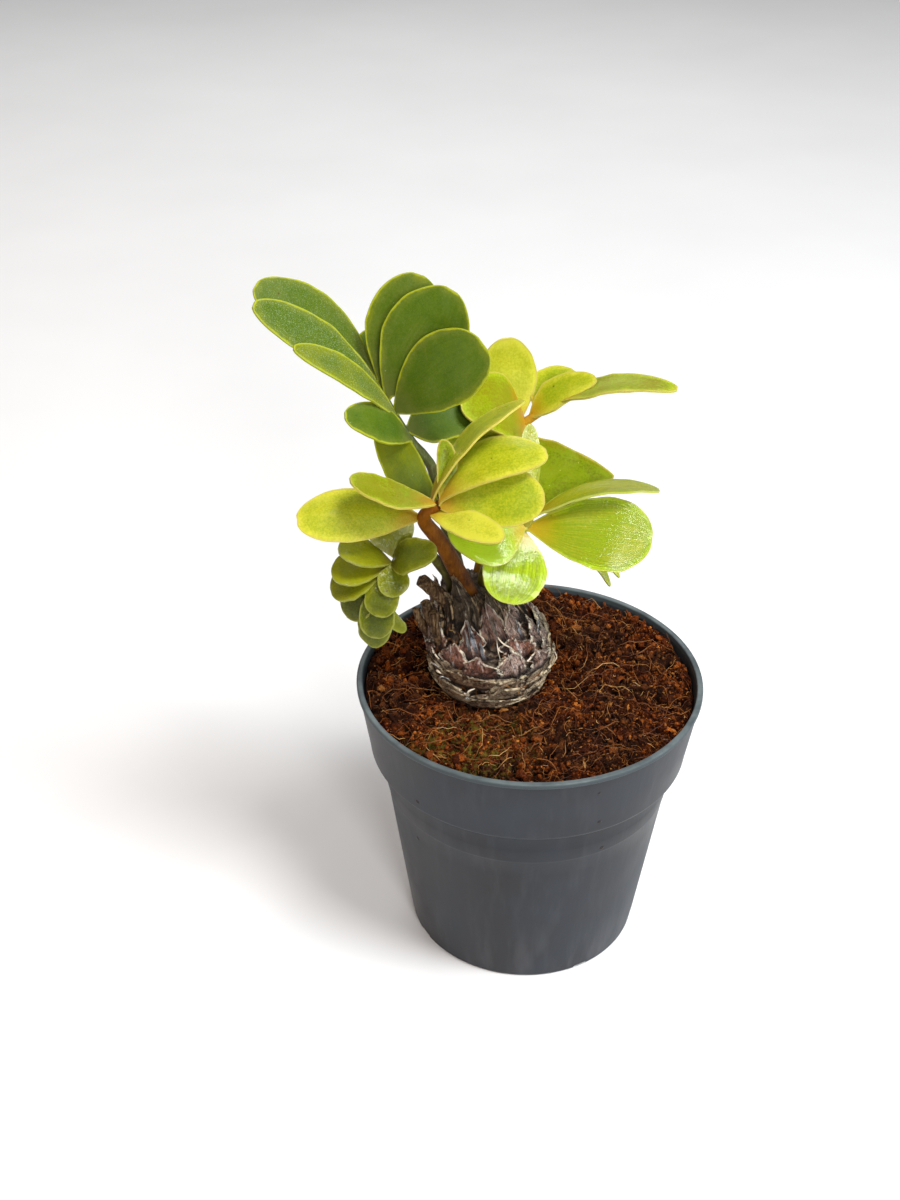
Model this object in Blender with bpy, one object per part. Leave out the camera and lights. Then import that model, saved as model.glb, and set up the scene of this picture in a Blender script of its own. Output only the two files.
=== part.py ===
"""A young cardboard palm in its nursery pot.

The origin is the middle of the pot's foot, on the surface it stands on. +Z is up, and the plant is seen
from -Y. A thin moulded pot holds coir, a scaly caudex sits in the coir, and five fronds stand in the
caudex's crown. Each frond is one node: a stalk with its leathery leaflets. Lengths in this file are
millimetres, and every mesh is in metres.
"""

import math

import bmesh
import bpy
from mathutils import Matrix, Vector, noise

MM = 0.001

# Between pieces that touch, and in a mesh that was joined: the thinnest triangle, and edges turned for it
GAP = 0.3
SLIVER = 0.004
MOST_TURNED_EDGES = 40

# The pot: a thin wall with a step below its band, on a notched foot
POT_HEIGHT = 90.7
RIM_RADIUS = 52.5
FOOT_RADIUS = 36.2
WALL = 1.1
LIP_HEIGHT = 1.5
BAND_BOTTOM = 67.0
BAND_RADIUS = 48.7
STEP_RADIUS = 45.4
FLOOR_RISE = 2.0
FOOT_RING_WIDTH = 2.2
PAD_RADIUS = 8.0
EDGE_CHAMFER = 0.4
SHOULDER_CHAMFER = 0.7
FLOOR_CHAMFER = 1.1
POT_SIDES = 48
DRAIN_HOLES = 8
DRAIN_RADIUS = 3.5
DRAIN_CIRCLE = 24.0
DRAIN_SIDES = 12
NOTCHES = 4
NOTCH_WIDTH = 5.0
NOTCH_HEIGHT = 1.2
FIRST_NOTCH = math.radians(-61)

# The coir: heaped a little higher at the back than at the front
COIR_LEVEL = 87.0
COIR_BACK_RISE = 1.8
COIR_RELIEF = 1.2
COIR_LUMP_PITCH = 9.0
COIR_DIP = 1.6
COIR_DIP_FROM = 0.8
COIR_SIDES = 40
COIR_RINGS = 6
COIR_CREVICE = 0.8
CREVICE_FROM = 84.0

# The caudex: a round bulb that leans a little, with its tap root in the coir
BULB_X, BULB_Y = -12.0, 5.5
BULB_PROFILE = [
    (0.0, 52.0), (3.0, 53.0), (7.0, 64.0), (11.0, 76.0), (14.4, 85.0), (16.8, 91.0), (17.6, 97.0),
    (16.6, 103.5), (14.0, 109.0), (11.6, 113.0), (10.2, 117.0), (8.6, 119.5), (0.0, 120.0),
]
BULB_MIDDLE = 97.0
BULB_LEAN_X, BULB_LEAN_Y = -0.27, 0.06
BULB_SIDES = 24
SCALES = 54
SCALE_LOWEST, SCALE_HIGHEST = 89.5, 114.0
SCALE_LENGTHS = (5.0, 10.0)
SCALE_WIDTHS = (11.0, 7.0)
SCALE_LEANS = (0.10, 0.26)
SCALE_DEPTH = 2.6
SCALE_SUNK = 0.3
SCALE_BELOW = 0.45
GOLDEN_ANGLE = math.radians(137.508)

# Old leaf stalks and dried leaf bases round the crown: each is its points, and its radius at both ends
STUBS = [
    ([(-21, 3, 112), (-28, 0, 119), (-34.5, -3, 128)], (3.0, 2.6)),
    ([(-26, 4, 108), (-29, 2, 115), (-30, 1, 122)], (2.8, 1.2)),
    ([(-13, 1, 110), (-14.5, -2.5, 117), (-17, -3.5, 127)], (3.2, 0.5)),
]

# The blades and stalks
BLADE_THICKNESS = 0.9
BLADE_STEPS_ALONG = 7
BLADE_STEPS_ACROSS = 4
SMALL_WIDTH = 10.0
ROOT_WIDTH = 0.12
STALK_RESOLUTION = 2
STALK_TAPER = 1.5
STEPS_PER_SPAN = 2
SOCKET_SPANS = 2

# The fronds. A stalk is the points that it passes through, from inside the crown to its end, and its
# radius at both ends. A leaflet is the place on the stalk that it grows from, counted in points, then its
# tip, its width, the way that its upper side looks, and its bends.
FRONDS = {
    "frond_upright": {
        "stalk": [
            (-20.5, 8, 112), (-21.5, 9, 122), (-23.5, 9, 133), (-27, 9, 146.5), (-28.5, 8, 156.5),
            (-31.5, 7, 162), (-35, 6, 167), (-39, 6, 174), (-42, 8, 179), (-44.5, 11, 183.5), (-45.5, 14, 187),
        ],
        "radii": (2.2, 0.8),
        "leaflets": [
            (3.1, (-42.5, 6, 176.5), 11.5, (0.1, -0.85, 0.5), dict(cup=1.5, bow=-3.0)),
            (6.0, (-53, -6, 181), 11.5, (-0.1, -0.6, 0.8), dict(arch=2.5)),
            (6.7, (-15.3, 15, 169.5), 12, (0.1, -0.6, 0.8), dict(bow=-2.0)),
            (6.9, (-66.5, -3, 200), 14, (0.68, 0.0, 0.74), dict(arch=4.0, bow=1.5)),
            (7.3, (-15, 0, 200.5), 20.5, (0.1, -0.85, 0.5), dict(arch=1.5, bow=-1.0)),
            (8.0, (-76.5, 0, 211), 16, (0.4, -0.35, 0.8), dict(arch=1.5, bow=2.5)),
            (8.1, (-24, 5, 213), 22, (0.15, -0.85, 0.5), dict(arch=1.5)),
            (9.2, (-77, 9, 212.5), 22, (0.4, -0.3, 0.8), dict(arch=2.5, bow=3.0)),
            (8.7, (-33, 12, 214.5), 20, (0.2, -0.85, 0.5), dict(arch=1.5)),
            (9.6, (-47, 26, 192), 9, (0.2, -0.7, 0.6), {}),
        ],
    },
    "frond_front": {
        "stalk": [
            (-17.5, 2.5, 112), (-19, 1, 120.5), (-23, -2, 131), (-27, -5, 141), (-31.5, -8, 149.5),
            (-30, -11, 154.5), (-27, -12, 157),
        ],
        "radii": (3.0, 1.2),
        "leaflets": [
            (4.1, (-66.5, -14, 153), 16, (-0.1, -0.6, 0.8), dict(arch=2.0, bow=1.5)),
            (5.8, (-51.5, -16, 166.5), 15, (0.3, 0.0, 0.95), dict(arch=-0.5)),
            (4.4, (-10, -24, 153), 12, (0.1, -0.2, 0.97), dict(arch=1.0)),
            (5.5, (1.5, -16, 161.5), 17, (0.1, -0.8, 0.6), dict(arch=1.5, bow=-1.0)),
            (5.8, (3, -8, 170), 16, (-0.1, -0.2, 0.97), dict(arch=5.0, bow=-2.0)),
            (5.1, (-4, 2, 181.5), 16, (-0.69, 0.21, 0.7), dict(arch=5.0)),
            (5.9, (-26, -3, 172.5), 6, (-0.1, -0.8, 0.5), dict(bow=1.5)),
        ],
    },
    "frond_drooping": {
        "stalk": [
            (-23.5, 3.5, 112), (-23.5, 4, 118), (-24.5, 3.5, 123.5), (-27, 2, 128.5), (-30, -2, 134.5),
            (-34.5, -6, 136.5), (-39, -9, 136), (-42.5, -10, 132), (-45, -10, 125), (-46, -10, 117.5),
        ],
        "radii": (1.8, 0.7),
        "leaflets": [
            (5.6, (-43, -2, 151), 13.5, (0.0, -0.8, 0.6), {}),
            (6.0, (-55.5, -14, 143), 11.5, (-0.1, -0.3, 0.95), dict(arch=1.0, bow=1.0)),
            (6.6, (-57.5, -12, 136.5), 12, (-0.15, -0.4, 0.9), dict(arch=1.0, bow=1.0)),
            (7.0, (-58, -10, 129.5), 12.5, (-0.2, -0.5, 0.85), dict(arch=1.0, bow=1.0)),
            (7.4, (-56.5, -8, 121), 11, (-0.3, -0.6, 0.75), dict(arch=1.0)),
            (5.8, (-28, -16, 143.5), 9, (0.1, -0.5, 0.85), dict(arch=1.0)),
            (6.5, (-38, -22, 135), 11, (0.2, -0.6, 0.75), dict(arch=1.0)),
            (7.0, (-42.5, -21, 127.5), 12, (0.25, -0.7, 0.7), dict(arch=1.0)),
            (6.6, (-46, -16, 112.5), 10, (0.2, -0.85, 0.5), dict(arch=2.0, bow=1.2)),
            (7.3, (-43.5, -14, 112), 10, (0.2, -0.85, 0.5), dict(arch=1.0)),
            (8.0, (-37.5, -8, 112), 6, (0.2, -0.85, 0.5), {}),
        ],
    },
    "frond_right": {
        "stalk": [
            (-14.5, 7, 112), (-14, 6.5, 122), (-10.5, 4, 134), (-5.5, 1, 140), (-2, -1, 145), (-1, -2, 150.5),
        ],
        "radii": (2.0, 0.9),
        "leaflets": [
            (3.5, (-7.5, -14, 126), 20, (0.1, -0.9, 0.3), dict(arch=2.0)),
            (3.8, (-25.5, -8, 146), 19, (0.0, -0.6, 0.75), dict(arch=1.0, belly=0.5, bow=-1.5)),
            (3.6, (33, -6, 142.5), 21.5, (0.1, -0.8, 0.6), dict(arch=2.0, belly=0.68)),
            (4.0, (35, 2, 153.5), 13, (0.0, 0.2, 0.98), dict(arch=5.0)),
            (4.5, (-2, 18, 169.5), 8, (0.1, -0.75, 0.6), {}),
            (3.8, (23, 4, 120.5), 4.5, (0.3, -0.6, 0.7), dict(bow=-6.0)),
            (3.8, (26, 8, 121), 4, (0.3, -0.6, 0.7), dict(bow=-6.0)),
        ],
    },
    "frond_back": {
        "stalk": [
            (-17, 12.5, 112), (-14, 16, 125.5), (-13, 21, 140), (-9.5, 25, 153), (-4, 26, 161.5),
            (3.5, 28, 166.5), (8.5, 29, 170),
        ],
        "radii": (2.0, 0.9),
        "leaflets": [
            (3.8, (-7.5, 36, 185.5), 17.5, (0.1, -0.85, 0.5), dict(arch=1.0)),
            (4.0, (-22, 14, 174.5), 14, (0.0, -0.5, 0.85), dict(arch=3.0, bow=3.5, belly=0.3)),
            (4.4, (18, 28, 176.2), 11, (-0.2, -0.4, 0.9), dict(arch=1.5, bow=-2.0, belly=0.4)),
            (5.2, (40.5, 20, 176.5), 15, (0.0, 0.05, 1.0), dict(arch=4.0, belly=0.45)),
            (4.6, (12.5, 40, 173), 13, (0.2, -0.3, 0.9), dict(bow=-2.0)),
            (2.7, (23.3, 13, 152.2), 21, (0.1, -0.75, 0.6), dict(arch=1.5, bow=1.5, belly=0.4, taper=1.0)),
            (3.6, (-25, 12, 163.5), 8, (0.0, -0.5, 0.85), {}),
            (2.9, (-16, 20, 161.5), 10, (0.0, -0.8, 0.6), {}),
        ],
    },
}


# Materials

def material(name, colour, roughness):
    """A plain finish: base colour, roughness, no metal."""
    made = bpy.data.materials.new(name)
    made.use_nodes = True
    shader = made.node_tree.nodes["Principled BSDF"]
    shader.inputs["Base Color"].default_value = (*colour, 1.0)
    shader.inputs["Roughness"].default_value = roughness
    shader.inputs["Metallic"].default_value = 0.0
    return made


# Meshes shared by several pieces

def clear_scene():
    for obj in list(bpy.data.objects):
        bpy.data.objects.remove(obj)


def object_from(bm, name):
    """An object from a bmesh whose lengths are millimetres."""
    bmesh.ops.remove_doubles(bm, verts=bm.verts, dist=0.001)
    bmesh.ops.recalc_face_normals(bm, faces=bm.faces)
    bmesh.ops.scale(bm, vec=(MM, MM, MM), verts=bm.verts)
    mesh = bpy.data.meshes.new(name)
    bm.to_mesh(mesh)
    bm.free()
    obj = bpy.data.objects.new(name, mesh)
    bpy.context.scene.collection.objects.link(obj)
    return obj


def finished(obj, finish):
    """The object with its material, smooth except at its edges."""
    obj.data.materials.append(finish)
    obj.data.shade_smooth()
    obj.data.set_sharp_from_angle(angle=math.radians(40))
    return obj


def turned(profile, sides):
    """A closed solid of revolution about Z, from (radius, height) points that start and end on the axis."""
    bm = bmesh.new()
    line = [bm.verts.new((radius, 0.0, height)) for radius, height in profile]
    edges = [bm.edges.new(pair) for pair in zip(line, line[1:])]
    bmesh.ops.spin(
        bm, geom=line + edges, cent=(0, 0, 0), axis=(0, 0, 1),
        angle=math.tau, steps=sides, use_merge=True,
    )
    bmesh.ops.remove_doubles(bm, verts=bm.verts, dist=0.001)
    return bm


def longest_edge(face):
    return max(face.edges, key=lambda edge: edge.calc_length())


def thinness(face):
    """A triangle's height over its longest edge."""
    return 2 * face.calc_area() / longest_edge(face).calc_length()


def without_slivers(mesh):
    """Makes the mesh triangles, without the tiny edges and needle-thin faces that joining leaves."""
    bm = bmesh.new()
    bm.from_mesh(mesh)
    bmesh.ops.triangulate(bm, faces=bm.faces)
    bmesh.ops.dissolve_degenerate(bm, dist=SLIVER * MM, edges=bm.edges)
    bmesh.ops.triangulate(bm, faces=bm.faces)
    for _ in range(MOST_TURNED_EDGES):
        thinnest = min(bm.faces, key=thinness)
        if thinness(thinnest) > SLIVER * MM:
            break
        bmesh.ops.rotate_edges(bm, edges=[longest_edge(thinnest)])
    bm.to_mesh(mesh)
    bm.free()


def boolean(obj, others, operation, solver="EXACT"):
    """Joins others to obj, or cuts them out of it, and removes them."""
    group = bpy.data.collections.new(obj.name + "_others")
    bpy.context.scene.collection.children.link(group)
    for other in others:
        bpy.context.scene.collection.objects.unlink(other)
        group.objects.link(other)
    modifier = obj.modifiers.new(operation.title(), "BOOLEAN")
    modifier.operation = operation
    modifier.solver = solver
    modifier.operand_type = "COLLECTION"
    modifier.collection = group
    bpy.context.view_layer.update()
    graph = bpy.context.evaluated_depsgraph_get()
    solid = bpy.data.meshes.new_from_object(obj.evaluated_get(graph))
    solid.materials.clear()
    without_slivers(solid)
    obj.modifiers.clear()
    obj.data = solid
    for other in others:
        bpy.data.objects.remove(other)
    bpy.data.collections.remove(group)
    return obj


def one_body(obj):
    """Keeps the object's largest shell: hollows that joining sealed are filled, and loose scraps dropped."""
    bm = bmesh.new()
    bm.from_mesh(obj.data)
    left = set(bm.verts)
    shells = []
    while left:
        shell = [left.pop()]
        for vert in shell:
            for edge in vert.link_edges:
                other = edge.other_vert(vert)
                if other in left:
                    left.discard(other)
                    shell.append(other)
        shells.append(shell)
    largest = max(shells, key=len)
    scraps = [vert for shell in shells if shell is not largest for vert in shell]
    bmesh.ops.delete(bm, geom=scraps, context="VERTS")
    bm.to_mesh(obj.data)
    bm.free()
    return obj


# The pot

def pot_outside():
    """The pot's outer side as (radius, height) points, from the foot to the top of the lip."""
    lip_bottom = POT_HEIGHT - LIP_HEIGHT
    return [
        (FOOT_RADIUS - EDGE_CHAMFER, 0.0), (FOOT_RADIUS, EDGE_CHAMFER),
        (STEP_RADIUS, BAND_BOTTOM - SHOULDER_CHAMFER), (STEP_RADIUS + SHOULDER_CHAMFER, BAND_BOTTOM),
        (BAND_RADIUS - SHOULDER_CHAMFER, BAND_BOTTOM), (BAND_RADIUS, BAND_BOTTOM + SHOULDER_CHAMFER),
        (RIM_RADIUS - EDGE_CHAMFER, lip_bottom - EDGE_CHAMFER), (RIM_RADIUS, lip_bottom),
        (RIM_RADIUS, POT_HEIGHT - EDGE_CHAMFER), (RIM_RADIUS - EDGE_CHAMFER, POT_HEIGHT),
    ]


def pot_inside(inset):
    """The inner side of the wall, moved inward by inset, from the floor up to the rim."""
    floor = FLOOR_RISE + WALL + inset
    outer = (FOOT_RADIUS, STEP_RADIUS, BAND_RADIUS, RIM_RADIUS)
    foot, step, band, rim = (radius - WALL - inset for radius in outer)
    return [
        (foot - FLOOR_CHAMFER, floor), (foot, floor + FLOOR_CHAMFER),
        (step, BAND_BOTTOM + inset), (band, BAND_BOTTOM + 2 * SHOULDER_CHAMFER + inset),
        (rim - EDGE_CHAMFER, POT_HEIGHT - EDGE_CHAMFER), (rim, POT_HEIGHT),
    ]


def drain_holes():
    """Cutters for the round holes in the floor."""
    holes = []
    for index in range(DRAIN_HOLES):
        angle = math.tau * index / DRAIN_HOLES
        place = Vector((math.cos(angle), math.sin(angle), 0)) * DRAIN_CIRCLE
        bm = bmesh.new()
        bmesh.ops.create_cone(
            bm, cap_ends=True, segments=DRAIN_SIDES, radius1=DRAIN_RADIUS, radius2=DRAIN_RADIUS,
            depth=4 * WALL, matrix=Matrix.Translation(place + Vector((0, 0, FLOOR_RISE + WALL / 2))),
        )
        holes.append(object_from(bm, f"drain_{index}"))
    return holes


def foot_notches():
    """Cutters for the water slots under the foot ring."""
    notches = []
    for index in range(NOTCHES):
        turn = Matrix.Rotation(FIRST_NOTCH + math.tau * index / NOTCHES, 4, "Z")
        bm = bmesh.new()
        bmesh.ops.create_cube(bm, size=1.0)
        bmesh.ops.scale(bm, vec=(4 * FOOT_RING_WIDTH, NOTCH_WIDTH, 2 * NOTCH_HEIGHT), verts=bm.verts)
        bmesh.ops.translate(bm, vec=(FOOT_RADIUS - FOOT_RING_WIDTH / 2, 0, 0), verts=bm.verts)
        bmesh.ops.transform(bm, matrix=turn, verts=bm.verts)
        notches.append(object_from(bm, f"notch_{index}"))
    return notches


def build_pot():
    foot_inside = FOOT_RADIUS - FOOT_RING_WIDTH
    underside = [
        (0.0, 0.0), (PAD_RADIUS, 0.0), (PAD_RADIUS + FLOOR_CHAMFER, FLOOR_RISE),
        (foot_inside - FLOOR_CHAMFER, FLOOR_RISE), (foot_inside, 0.0),
    ]
    inside = list(reversed(pot_inside(0.0)))
    pot = object_from(turned(underside + pot_outside() + inside + [(0.0, FLOOR_RISE + WALL)], POT_SIDES), "pot")
    boolean(pot, drain_holes() + foot_notches(), "DIFFERENCE")
    return finished(pot, material("pot_plastic", (0.10, 0.13, 0.16), 0.45))


# The coir

def coir_height(x, y, edge):
    """The height of the coir's surface, where edge is the radius at which it meets the pot."""
    share = math.hypot(x, y) / edge
    dip = COIR_DIP * max(0.0, (share - COIR_DIP_FROM) / (1 - COIR_DIP_FROM)) ** 2
    lumps = COIR_RELIEF * noise.noise(Vector((x, y, 0)) / COIR_LUMP_PITCH)
    return COIR_LEVEL + COIR_BACK_RISE * y / edge + lumps - dip


def bulb_solid(name, margin, crevice=0.0):
    """The caudex's body without its scales, moved outward by margin, and by crevice above the soil."""
    profile = []
    for radius, height in BULB_PROFILE:
        wider = margin if height < CREVICE_FROM else margin + crevice
        profile.append((radius + wider if radius else 0.0, height))
    if margin:
        profile[0] = (0.0, profile[0][1] - margin)
        profile[1] = (profile[1][0], profile[1][1] - margin)
    bm = turned(profile, BULB_SIDES)
    for vert in bm.verts:
        rise = max(0.0, vert.co.z - BULB_MIDDLE)
        vert.co.x += BULB_X + BULB_LEAN_X * rise
        vert.co.y += BULB_Y + BULB_LEAN_Y * rise
    return object_from(bm, name)


def build_coir():
    wall = [point for point in pot_inside(GAP) if point[1] < COIR_LEVEL]
    (low_radius, low), (top_radius, top) = wall[-1], pot_inside(GAP)[-2]
    flare = (top_radius - low_radius) / (top - low)
    edge = low_radius + flare * (COIR_LEVEL - low)
    rings = [(edge * (1 - ring / COIR_RINGS), COIR_LEVEL) for ring in range(COIR_RINGS + 1)]
    bm = turned([(0.0, wall[0][1])] + wall + rings, COIR_SIDES)
    for vert in bm.verts:
        if vert.co.z == COIR_LEVEL:
            height = coir_height(vert.co.x, vert.co.y, edge)
            wider = 1 + flare * (height - COIR_LEVEL) / edge
            vert.co = (vert.co.x * wider, vert.co.y * wider, height)
    bmesh.ops.triangulate(bm, faces=bm.faces)
    coir = object_from(bm, "coir")
    boolean(coir, [bulb_solid("socket", GAP, COIR_CREVICE)], "DIFFERENCE")
    return finished(coir, material("coir_fibre", (0.16, 0.045, 0.016), 0.9))


# Smooth lines and stalks

def on_line(points, place):
    """The point at place along a smooth line, where place 2.5 is halfway from point 2 to point 3."""
    last = len(points) - 1
    index = min(int(place), last - 1)
    share = place - index
    before = points[max(index - 1, 0)]
    start, end = points[index], points[index + 1]
    after = points[min(index + 2, last)]
    return 0.5 * (
        2 * start
        + (end - before) * share
        + (2 * before - 5 * start + 4 * end - after) * share ** 2
        + (3 * start - before - 3 * end + after) * share ** 3
    )


def stalk(name, points, radii, margin=0.0, spans=None):
    """A tube through the points that thins from its root to its end, or only its first spans."""
    line = [Vector(point) for point in points]
    thick, thin = radii
    steps = (len(line) - 1) * STEPS_PER_SPAN
    kept = spans * STEPS_PER_SPAN if spans else steps
    curve = bpy.data.curves.new(name, "CURVE")
    curve.dimensions = "3D"
    curve.bevel_depth = MM
    curve.bevel_resolution = STALK_RESOLUTION
    curve.use_fill_caps = True
    spline = curve.splines.new("POLY")
    spline.points.add(kept)
    for step, point in enumerate(spline.points):
        co = on_line(line, step / STEPS_PER_SPAN)
        if step == 0:
            co = co - (line[1] - line[0]).normalized() * margin
        point.co = (*(co * MM), 1.0)
        point.radius = thick + (thin - thick) * (step / steps) ** STALK_TAPER + margin
    tube = bpy.data.objects.new(name + "_curve", curve)
    bpy.context.scene.collection.objects.link(tube)
    bpy.context.view_layer.update()
    bm = bmesh.new()
    bm.from_mesh(bpy.data.meshes.new_from_object(tube.evaluated_get(bpy.context.evaluated_depsgraph_get())))
    bpy.data.objects.remove(tube)
    bmesh.ops.scale(bm, vec=(1 / MM, 1 / MM, 1 / MM), verts=bm.verts)
    return object_from(bm, name)


# The caudex

def bulb_radius(height):
    """The bulb's radius at a height, between the points of its profile."""
    for (low_radius, low), (high_radius, high) in zip(BULB_PROFILE, BULB_PROFILE[1:]):
        if low <= height <= high:
            return low_radius + (high_radius - low_radius) * (height - low) / (high - low)
    return 0.0


def between(ends, share):
    """The value at a share of the way from the first end to the second."""
    return ends[0] + (ends[1] - ends[0]) * share


def scale(index):
    """One leaf base: a flat pointed wedge sunk in the bulb. The low ones are wide bands, the high ones
    stand up and away."""
    share = index / (SCALES - 1)
    height = between((SCALE_LOWEST, SCALE_HIGHEST), share)
    angle = index * GOLDEN_ANGLE
    outward = Vector((math.cos(angle), math.sin(angle), 0))
    rise = max(0.0, height - BULB_MIDDLE)
    centre = Vector((BULB_X + BULB_LEAN_X * rise, BULB_Y + BULB_LEAN_Y * rise, height))
    slope = (bulb_radius(height + 1) - bulb_radius(height - 1)) / 2
    upward = (outward * slope + Vector((0, 0, 1))).normalized()
    side = upward.cross(outward).normalized()
    normal = side.cross(upward)
    if normal.dot(outward) < 0:
        normal.negate()
    length = between(SCALE_LENGTHS, share)
    width = between(SCALE_WIDTHS, share)
    lean_out = between(SCALE_LEANS, share)
    bm = bmesh.new()
    bmesh.ops.create_cone(bm, cap_ends=True, segments=4, radius1=1.0, radius2=0.0, depth=1.0)
    for vert in bm.verts:
        across, deep, along = vert.co.x, vert.co.y, vert.co.z + 0.5
        vert.co = (
            centre + outward * bulb_radius(height)
            + side * (across * width / 2)
            + normal * (deep * SCALE_DEPTH / 2 + lean_out * length * along - SCALE_SUNK)
            + upward * (along - SCALE_BELOW) * length
        )
    return object_from(bm, f"scale_{index}")


def build_caudex():
    caudex = bulb_solid("caudex", 0.0)
    parts = [scale(index) for index in range(SCALES)]
    for index, (points, radii) in enumerate(STUBS):
        parts.append(stalk(f"stub_{index}", points, radii))
    boolean(caudex, parts, "UNION")
    sockets = [
        stalk(name + "_socket", frond["stalk"], frond["radii"], margin=GAP, spans=SOCKET_SPANS)
        for name, frond in FRONDS.items()
    ]
    boolean(caudex, sockets, "DIFFERENCE")
    return finished(caudex, material("caudex_bark", (0.13, 0.085, 0.065), 0.85))


# Leaflets and fronds

def half_width(share, belly, taper):
    """Half a blade's width at a share of its length, as a share of the widest: narrow at its root, widest
    at belly, and round at its tip with a taper of 0.5, or pointed with more."""
    if share < belly:
        return max(ROOT_WIDTH, math.sin(0.5 * math.pi * share / belly))
    beyond = (share - belly) / (1.01 - belly)
    return (1 - beyond ** 2) ** taper


def blade(name, root, tip, width, facing, arch=0.0, cup=0.0, belly=0.6, bow=0.0, taper=0.5):
    """One leaflet from root to tip. facing is where its upper side looks, arch lifts its middle line that
    way, cup lifts its two edges, and bow bends it sideways."""
    along = tip - root
    length = along.length
    along.normalize()
    up = Vector(facing)
    up = (up - along * up.dot(along)).normalized()
    side = along.cross(up)
    small = width < SMALL_WIDTH
    bm = bmesh.new()
    bmesh.ops.create_grid(
        bm, size=0.5,
        x_segments=BLADE_STEPS_ALONG - 2 * small, y_segments=BLADE_STEPS_ACROSS - 2 * small,
    )
    bmesh.ops.triangulate(bm, faces=bm.faces)
    for vert in bm.verts:
        share = 1 - abs(0.5 - vert.co.x) ** 1.5
        across = vert.co.y * 2
        half = half_width(share, belly, taper)
        hump = 4 * share * (1 - share)
        lift = arch * hump + cup * across ** 2 * half
        sideways = 0.5 * width * half * across + bow * hump
        vert.co = root + along * (length * share) + side * sideways + up * lift
    bm.normal_update()
    bmesh.ops.solidify(bm, geom=bm.faces, thickness=BLADE_THICKNESS)
    return object_from(bm, name)


def build_frond(name, finish):
    """One frond: its stalk joined with its leaflets."""
    design = FRONDS[name]
    line = [Vector(point) for point in design["stalk"]]
    frond = stalk(name, design["stalk"], design["radii"])
    blades = [
        blade(f"{name}_{index}", on_line(line, place), Vector(tip), width, facing, **bends)
        for index, (place, tip, width, facing, bends) in enumerate(design["leaflets"])
    ]
    boolean(frond, blades, "UNION", "MANIFOLD")
    return finished(one_body(frond), finish)


def build():
    clear_scene()
    build_pot()
    build_coir()
    build_caudex()
    build_frond("frond_upright", material("leaf_dark", (0.07, 0.17, 0.03), 0.5))
    build_frond("frond_front", material("leaf_lime", (0.42, 0.50, 0.03), 0.5))
    build_frond("frond_drooping", material("leaf_olive", (0.16, 0.24, 0.02), 0.5))
    build_frond("frond_right", material("leaf_bright", (0.27, 0.50, 0.02), 0.35))
    build_frond("frond_back", material("leaf_young", (0.50, 0.58, 0.04), 0.5))


build()
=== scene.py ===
"""A young cardboard palm in its nursery pot: the finished look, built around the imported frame."""

import math
import random

import bmesh
import bpy
from mathutils import Matrix, Vector, noise


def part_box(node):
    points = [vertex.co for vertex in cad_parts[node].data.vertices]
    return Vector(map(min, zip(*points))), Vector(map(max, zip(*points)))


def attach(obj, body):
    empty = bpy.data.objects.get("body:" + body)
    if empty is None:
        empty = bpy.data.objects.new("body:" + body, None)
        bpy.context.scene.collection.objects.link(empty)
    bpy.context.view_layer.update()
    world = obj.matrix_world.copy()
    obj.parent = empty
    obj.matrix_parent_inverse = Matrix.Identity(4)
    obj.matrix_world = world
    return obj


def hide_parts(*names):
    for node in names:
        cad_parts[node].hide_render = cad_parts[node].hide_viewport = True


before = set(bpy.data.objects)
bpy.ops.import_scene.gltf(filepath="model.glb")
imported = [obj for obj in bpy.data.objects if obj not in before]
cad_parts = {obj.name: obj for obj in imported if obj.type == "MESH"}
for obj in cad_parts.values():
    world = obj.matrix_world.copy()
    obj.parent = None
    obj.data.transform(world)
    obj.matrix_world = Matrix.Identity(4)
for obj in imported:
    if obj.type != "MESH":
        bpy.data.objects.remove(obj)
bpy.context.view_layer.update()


# The pot: a thin injection-moulded nursery pot of slate grey plastic. Its wall flares up to a wider band
# under a thickened lip, and it stands on a notched ring, with round drain holes through its floor.

MM = 0.001
POT_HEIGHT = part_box("pot")[1].z / MM
RIM_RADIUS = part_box("pot")[1].x / MM
FOOT_RADIUS = 36.2
FOOT_RING_WIDTH = 2.2
PAD_RADIUS = 8.0
WALL = 1.1
STEP_RADIUS = 45.4
STEP_HEIGHT = 66.0
BAND_RADIUS = 48.75
FLOOR_RISE = 2.0
BAND_FOOT = 69.0
STACKING_RING = 54.0
POT_SIDES = 180
DRAIN_HOLES = 8
DRAIN_RADIUS = 3.5
DRAIN_CIRCLE = 24.0
NOTCHES = 4
NOTCH_SIZE = (8.0, 5.0, 2.4)
FIRST_NOTCH = math.radians(-61)


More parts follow.
